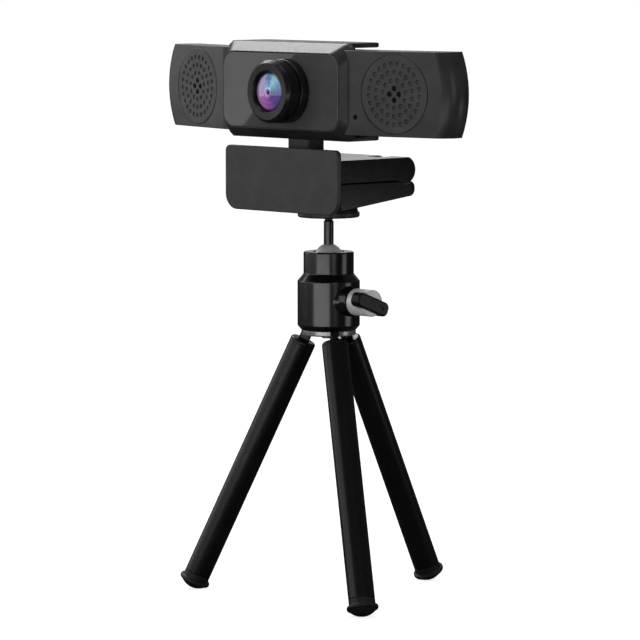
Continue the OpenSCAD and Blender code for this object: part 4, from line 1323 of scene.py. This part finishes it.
@dataclass
class Lens:
    """Fixed base, turning focus ring and front glass whose coating colours are painted reflections."""

    glass_r: float = 7.5 * MM
    sag: float = 1.2 * MM
    set_in: float = 0.5 * MM
    collar_in: float = 10.2 * MM
    sleeve: Point = (8.6 * MM, 9.8 * MM)
    sleeve_deep: float = 3 * MM
    ledge: float = 4.1 * MM

    def __post_init__(self) -> None:
        """Reads the lens's place from the frame; depths count back from the panel's face."""
        self.axis = pivot("focus_turn")
        self.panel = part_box("front_panel")[0].y
        self.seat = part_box("lens_base")[0].y - self.panel
        self.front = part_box("focus_ring")[0].y - self.panel

    def collar(self) -> BMesh:
        """Fixed base ring on the panel."""
        _, high, r = round_box("lens_base")
        back = high.y - self.panel
        return turned([Corner(self.collar_in, back), Corner(r, back), Corner(r, self.seat, 0.5 * MM),
                       Corner(self.collar_in, self.seat, 0.2 * MM)], 128, ring=True)

    def barrel(self) -> BMesh:
        """Focus ring: a waist, a wide grip, a flat front and a dished mouth."""
        r = round_box("focus_ring")[2]
        waist, step, front = r - 0.55 * MM, self.seat - 0.2 * MM, self.front
        mouth = self.glass_r + 0.05 * MM
        inner, outer = self.sleeve
        back = self.seat + self.sleeve_deep
        return turned([
            Corner(inner, back), Corner(outer, back), Corner(outer, step, 0.1 * MM),
            Corner(waist, step, 0.2 * MM), Corner(waist, step - 1.3 * MM, 0.12 * MM),
            Corner(r, step - 1.5 * MM, 0.25 * MM), Corner(r, front + 1.3 * MM, 0.7 * MM),
            Corner(r - 1.2 * MM, front, 0.5 * MM), Corner(mouth + 0.5 * MM, front + 0.15 * MM, 0.15 * MM),
            Corner(mouth, front + 0.8 * MM, 0.1 * MM), Corner(mouth, front + self.ledge),
            Corner(inner, front + self.ledge)], 128, ring=True)

    def glass(self) -> BMesh:
        """Domed front glass."""
        apex, edge = self.front + self.set_in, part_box("front_glass")[1].y - self.panel
        dome_r = (self.glass_r ** 2 + self.sag ** 2) / (2 * self.sag)
        widest, steps = math.asin(self.glass_r / dome_r), 16
        angles = [widest * i / steps for i in range(steps + 1)]
        dome = [Corner(dome_r * math.sin(a), apex + dome_r * (1 - math.cos(a))) for a in angles]
        return turned([*dome, Corner(self.glass_r, edge), Corner(0, edge)], 128)

    def build(self) -> None:
        """Makes the base, the ring and the glass about the lens axis."""
        place = Axis.BACK.at(self.axis.x, self.panel, self.axis.z)
        # Front glass finish: the coating colours and the small bright ring are painted reflections and a
        # painted highlight.
        coating = LensWithPaintedReflections("coated_glass", (0.2, 0.15, 0.5), 0.03, specular=0.6, coat=1.0, uneven=0.03,
                              centre=(self.axis.x, self.panel, self.axis.z), radius=self.glass_r)
        add_piece("lens_collar", placed(self.collar(), place), LENS_BLACK, "camera", "lens_base")
        add_piece("focus_barrel", placed(self.barrel(), place), LENS_BLACK, "focus", "focus_ring")
        add_piece("front_lens", placed(self.glass(), place), coating, "focus", "front_glass")
        dress(LENS_BLACK, "lens_holder")


# ---------------------------------------------------------------- stage, light and camera
@dataclass(frozen=True)
class Card:
    """Flat light beside the stand: its azimuth in degrees, from -Y towards +X, its place and its size."""

    name: str
    azimuth: float
    reach: float
    height: float
    size: tuple[float, float]
    radiance: float
    faces_head: bool = False


@dataclass
class Studio:
    """Pale floor, soft lights, white surroundings and the camera."""

    azimuth: float = math.radians(46.5)
    distance: float = 1.576
    height: float = 0.256
    pitch: float = math.radians(5.45)
    yaw: float = math.radians(0.12)
    focal: float = 233.5
    sensor: float = 36.0
    fill: float = 0.7
    mirrored: float = 0.06
    floor_r: float = 12.0
    floor_tone: float = 0.34
    floor_lift: float = 0.8
    floor_mirrored: float = 0.03
    block_z: float = 0.19
    head_z: float = 0.09
    cards: tuple[Card, ...] = (
        Card("low_front", 20, 0.6, 0.055, (0.7, 0.1), 2.4, faces_head=True),
        Card("low_right", 123, 0.6, 0.055, (0.22, 0.1), 1.5, faces_head=True),
        Card("left_wing", -72, 1.0, 0.44, (0.64, 0.75), 0.95),
        Card("right_wing", -25, 1.0, 0.44, (0.54, 0.75), 0.95),
        Card("clip", -46.5, 1.0, 0.055, (0.2, 0.045), 0.9),
        Card("flank_right", 70, 0.9, 0.25, (0.26, 0.36), 1.3),
        Card("behind", -133, 1.6, 0.4, (1.0, 0.26), 1.0))

    def __post_init__(self) -> None:
        """Places the camera about the stand's axis."""
        self.axis = stand_axis()
        self.eye = self.axis + self.toward(self.azimuth, self.distance, self.height)

    @staticmethod
    def toward(azimuth: float, distance: float, height: float) -> Vector:
        """Point at a distance from the axis, its azimuth turned from -Y towards +X."""
        return Vector((distance * math.sin(azimuth), -distance * math.cos(azimuth), height))

    def camera(self) -> None:
        """Makes the camera and makes it the scene's own."""
        data = bpy.data.cameras.new("camera")
        data.lens, data.sensor_width = self.focal, self.sensor
        camera = in_scene("camera", data)
        camera.location = self.eye
        ahead = -self.toward(self.azimuth + self.yaw, math.cos(self.pitch), math.sin(self.pitch))
        camera.rotation_euler = ahead.to_track_quat("-Z", "Y").to_euler()
        bpy.context.scene.camera = camera

    def softbox(self, name: str, place: Vector, look: Vector, size: tuple[float, float], radiance: float,
                roll: float = 0.0) -> None:
        """Adds a rectangular area light.

        Args:
            name: the light's name.
            place: its centre.
            look: the point it faces.
            size: width and height.
            radiance: brightness of its face, where 1 is white.
            roll: turn about its own axis, in radians.
        """
        data = bpy.data.lights.new(name, "AREA")
        data.shape = "RECTANGLE"
        data.size, data.size_y = size
        data.energy = radiance * math.pi * size[0] * size[1]
        lamp = in_scene(name, data)
        aim = (look - place).to_track_quat("-Z", "Y").to_matrix().to_4x4()
        lamp.matrix_world = Matrix.Translation(place) @ aim @ Matrix.Rotation(roll, 4, "Z")
        lamp.visible_camera = False

    def panel_card(self, card_y: float = -0.8, size: float = 0.3, top_at: float = 0.63,
                   bottom_at: float = 0.17, radiance: float = 1.1) -> None:
        """Card whose slanted edge the glossy front panel mirrors towards the camera.

        Args:
            card_y: how far in front of the object the card stands.
            size: its width and height.
            top_at: where its edge crosses the panel's upper edge, as a share of the width.
            bottom_at: where it crosses the lower edge.
            radiance: brightness of its face, where 1 is white.
        """
        low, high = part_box("front_panel")
        mirrored = Vector((self.eye.x, 2 * low.y - self.eye.y, self.eye.z))
        reach = (card_y - mirrored.y) / (low.y - mirrored.y)
        width = high.x - low.x
        corners = ((low.x + top_at * width, low.y, high.z), (low.x + bottom_at * width, low.y, low.z))
        top, bottom = (mirrored + reach * (Vector(corner) - mirrored) for corner in corners)
        along = (top - bottom).normalized()
        beside = along.cross(Vector((0, 1, 0)))
        if beside.x > 0:
            beside = -beside
        centre = (top + bottom) / 2 + beside * size / 2
        roll = math.atan2(along.z, along.x)
        self.softbox("panel_card", centre, centre + Vector((0, 1, 0)), (size, size), radiance, roll)

    def lights(self) -> None:
        """Adds the softboxes round the object."""
        block = Vector((0, self.axis.y, self.block_z))
        self.softbox("upper_left", block + Vector((-0.70, 0.20, 0.72)), block, (0.6, 0.5), 6.0)
        self.softbox("overhead", block + Vector((0.1, -0.1, 0.9)), block, (0.5, 0.5), 1.5)
        head = self.axis + Vector((0, 0, self.head_z))
        for card in self.cards:
            place = self.axis + self.toward(math.radians(card.azimuth), card.reach, card.height)
            look = head if card.faces_head else Vector((place.x / 2, place.y / 2, card.height))
            self.softbox(card.name, place, look, card.size, card.radiance)
        self.panel_card()

    @staticmethod
    def seen(tree: Tree, near: Socket, other: Socket) -> Socket:
        """Mixes two shaders: one for what the camera sees, straight or through glass, and one for the rest.

        Args:
            tree: the node tree.
            near: shader that camera and transmission rays meet.
            other: shader for the rest.

        Returns:
            The mixed shader.
        """
        path = add_node(tree, "LightPath").outputs
        either = operate(tree, "Math", "MAXIMUM", path["Is Camera Ray"], path["Is Transmission Ray"])
        return combined_shaders(tree, "Mix", either, other, near)

    @staticmethod
    def dimmed(tree: Tree, level: float, mirrored: float) -> Socket:
        """A level for diffuse rays that gives way to a dimmer one for glossy rays.

        Args:
            tree: the node tree.
            level: the level for diffuse rays.
            mirrored: the level for glossy rays.

        Returns:
            The socket of the level.
        """
        glossy = add_node(tree, "LightPath").outputs["Is Glossy Ray"]
        return add_node(tree, "MapRange", Value=glossy, To_Min=level, To_Max=mirrored).outputs["Result"]

    def surroundings(self) -> None:
        """White world for what is seen, a dim one for reflections and a softer one for the fill light."""
        world = bpy.data.worlds.new("surroundings")
        bpy.context.scene.world = world
        world.use_nodes = True
        tree = world.node_tree
        white = tree.nodes["Background"]
        white.inputs["Color"].default_value = (1, 1, 1, 1)
        level = self.dimmed(tree, self.fill, self.mirrored)
        soft = add_node(tree, "Background", Color=(1, 1, 1, 1), Strength=level)
        mixed = self.seen(tree, white.outputs[0], soft.outputs[0])
        feed(tree, tree.nodes["World Output"].inputs["Surface"], mixed)

    def floor(self) -> None:
        """Round pale floor that keeps the object's shadow."""
        shape = bmesh.new()
        bmesh.ops.create_circle(shape, cap_ends=True, segments=96, radius=self.floor_r)
        mesh = as_mesh(shape, "floor")
        material = bpy.data.materials.new("pale_floor")
        material.use_nodes = True
        tree = material.node_tree
        tree.nodes.remove(tree.nodes["Principled BSDF"])
        matte = add_node(tree, "BsdfDiffuse", Color=(*(self.floor_tone,) * 3, 1))
        lift = add_node(tree, "Emission", Color=(1, 1, 1, 1), Strength=self.floor_lift)
        bright = combined_shaders(tree, "Add", matte.outputs[0], lift.outputs[0])
        dim = add_node(tree, "BsdfDiffuse", Color=self.dimmed(tree, self.floor_tone, self.floor_mirrored))
        mixed = self.seen(tree, bright, dim.outputs[0])
        feed(tree, tree.nodes["Material Output"].inputs["Surface"], mixed)
        mesh.materials.append(material)
        in_scene("floor", mesh)

    def build(self) -> None:
        """Sets up everything round the object."""
        self.floor()
        self.surroundings()
        self.lights()
        self.camera()
        bpy.context.scene.view_settings.view_transform = "Standard"


def main() -> None:
    """Builds every sub-assembly in order, then the studio."""
    logging.basicConfig(level=logging.INFO, format="%(name)s: %(message)s")
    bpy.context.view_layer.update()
    bar = CameraBar()
    legs = [Leg(side) for side in ("left", "right", "rear")]
    grilles = [Grille(side, bar) for side in ("left", "right")]
    assemblies = [BallHead(), ClampScrew(), *legs, BallAndPlate(), MonitorClip(), Neck(), bar, *grilles,
                  CentreBlock(), Lens()]
    for assembly in assemblies:
        assembly.build()
    Studio().build()


if __name__ == "__main__":
    main()
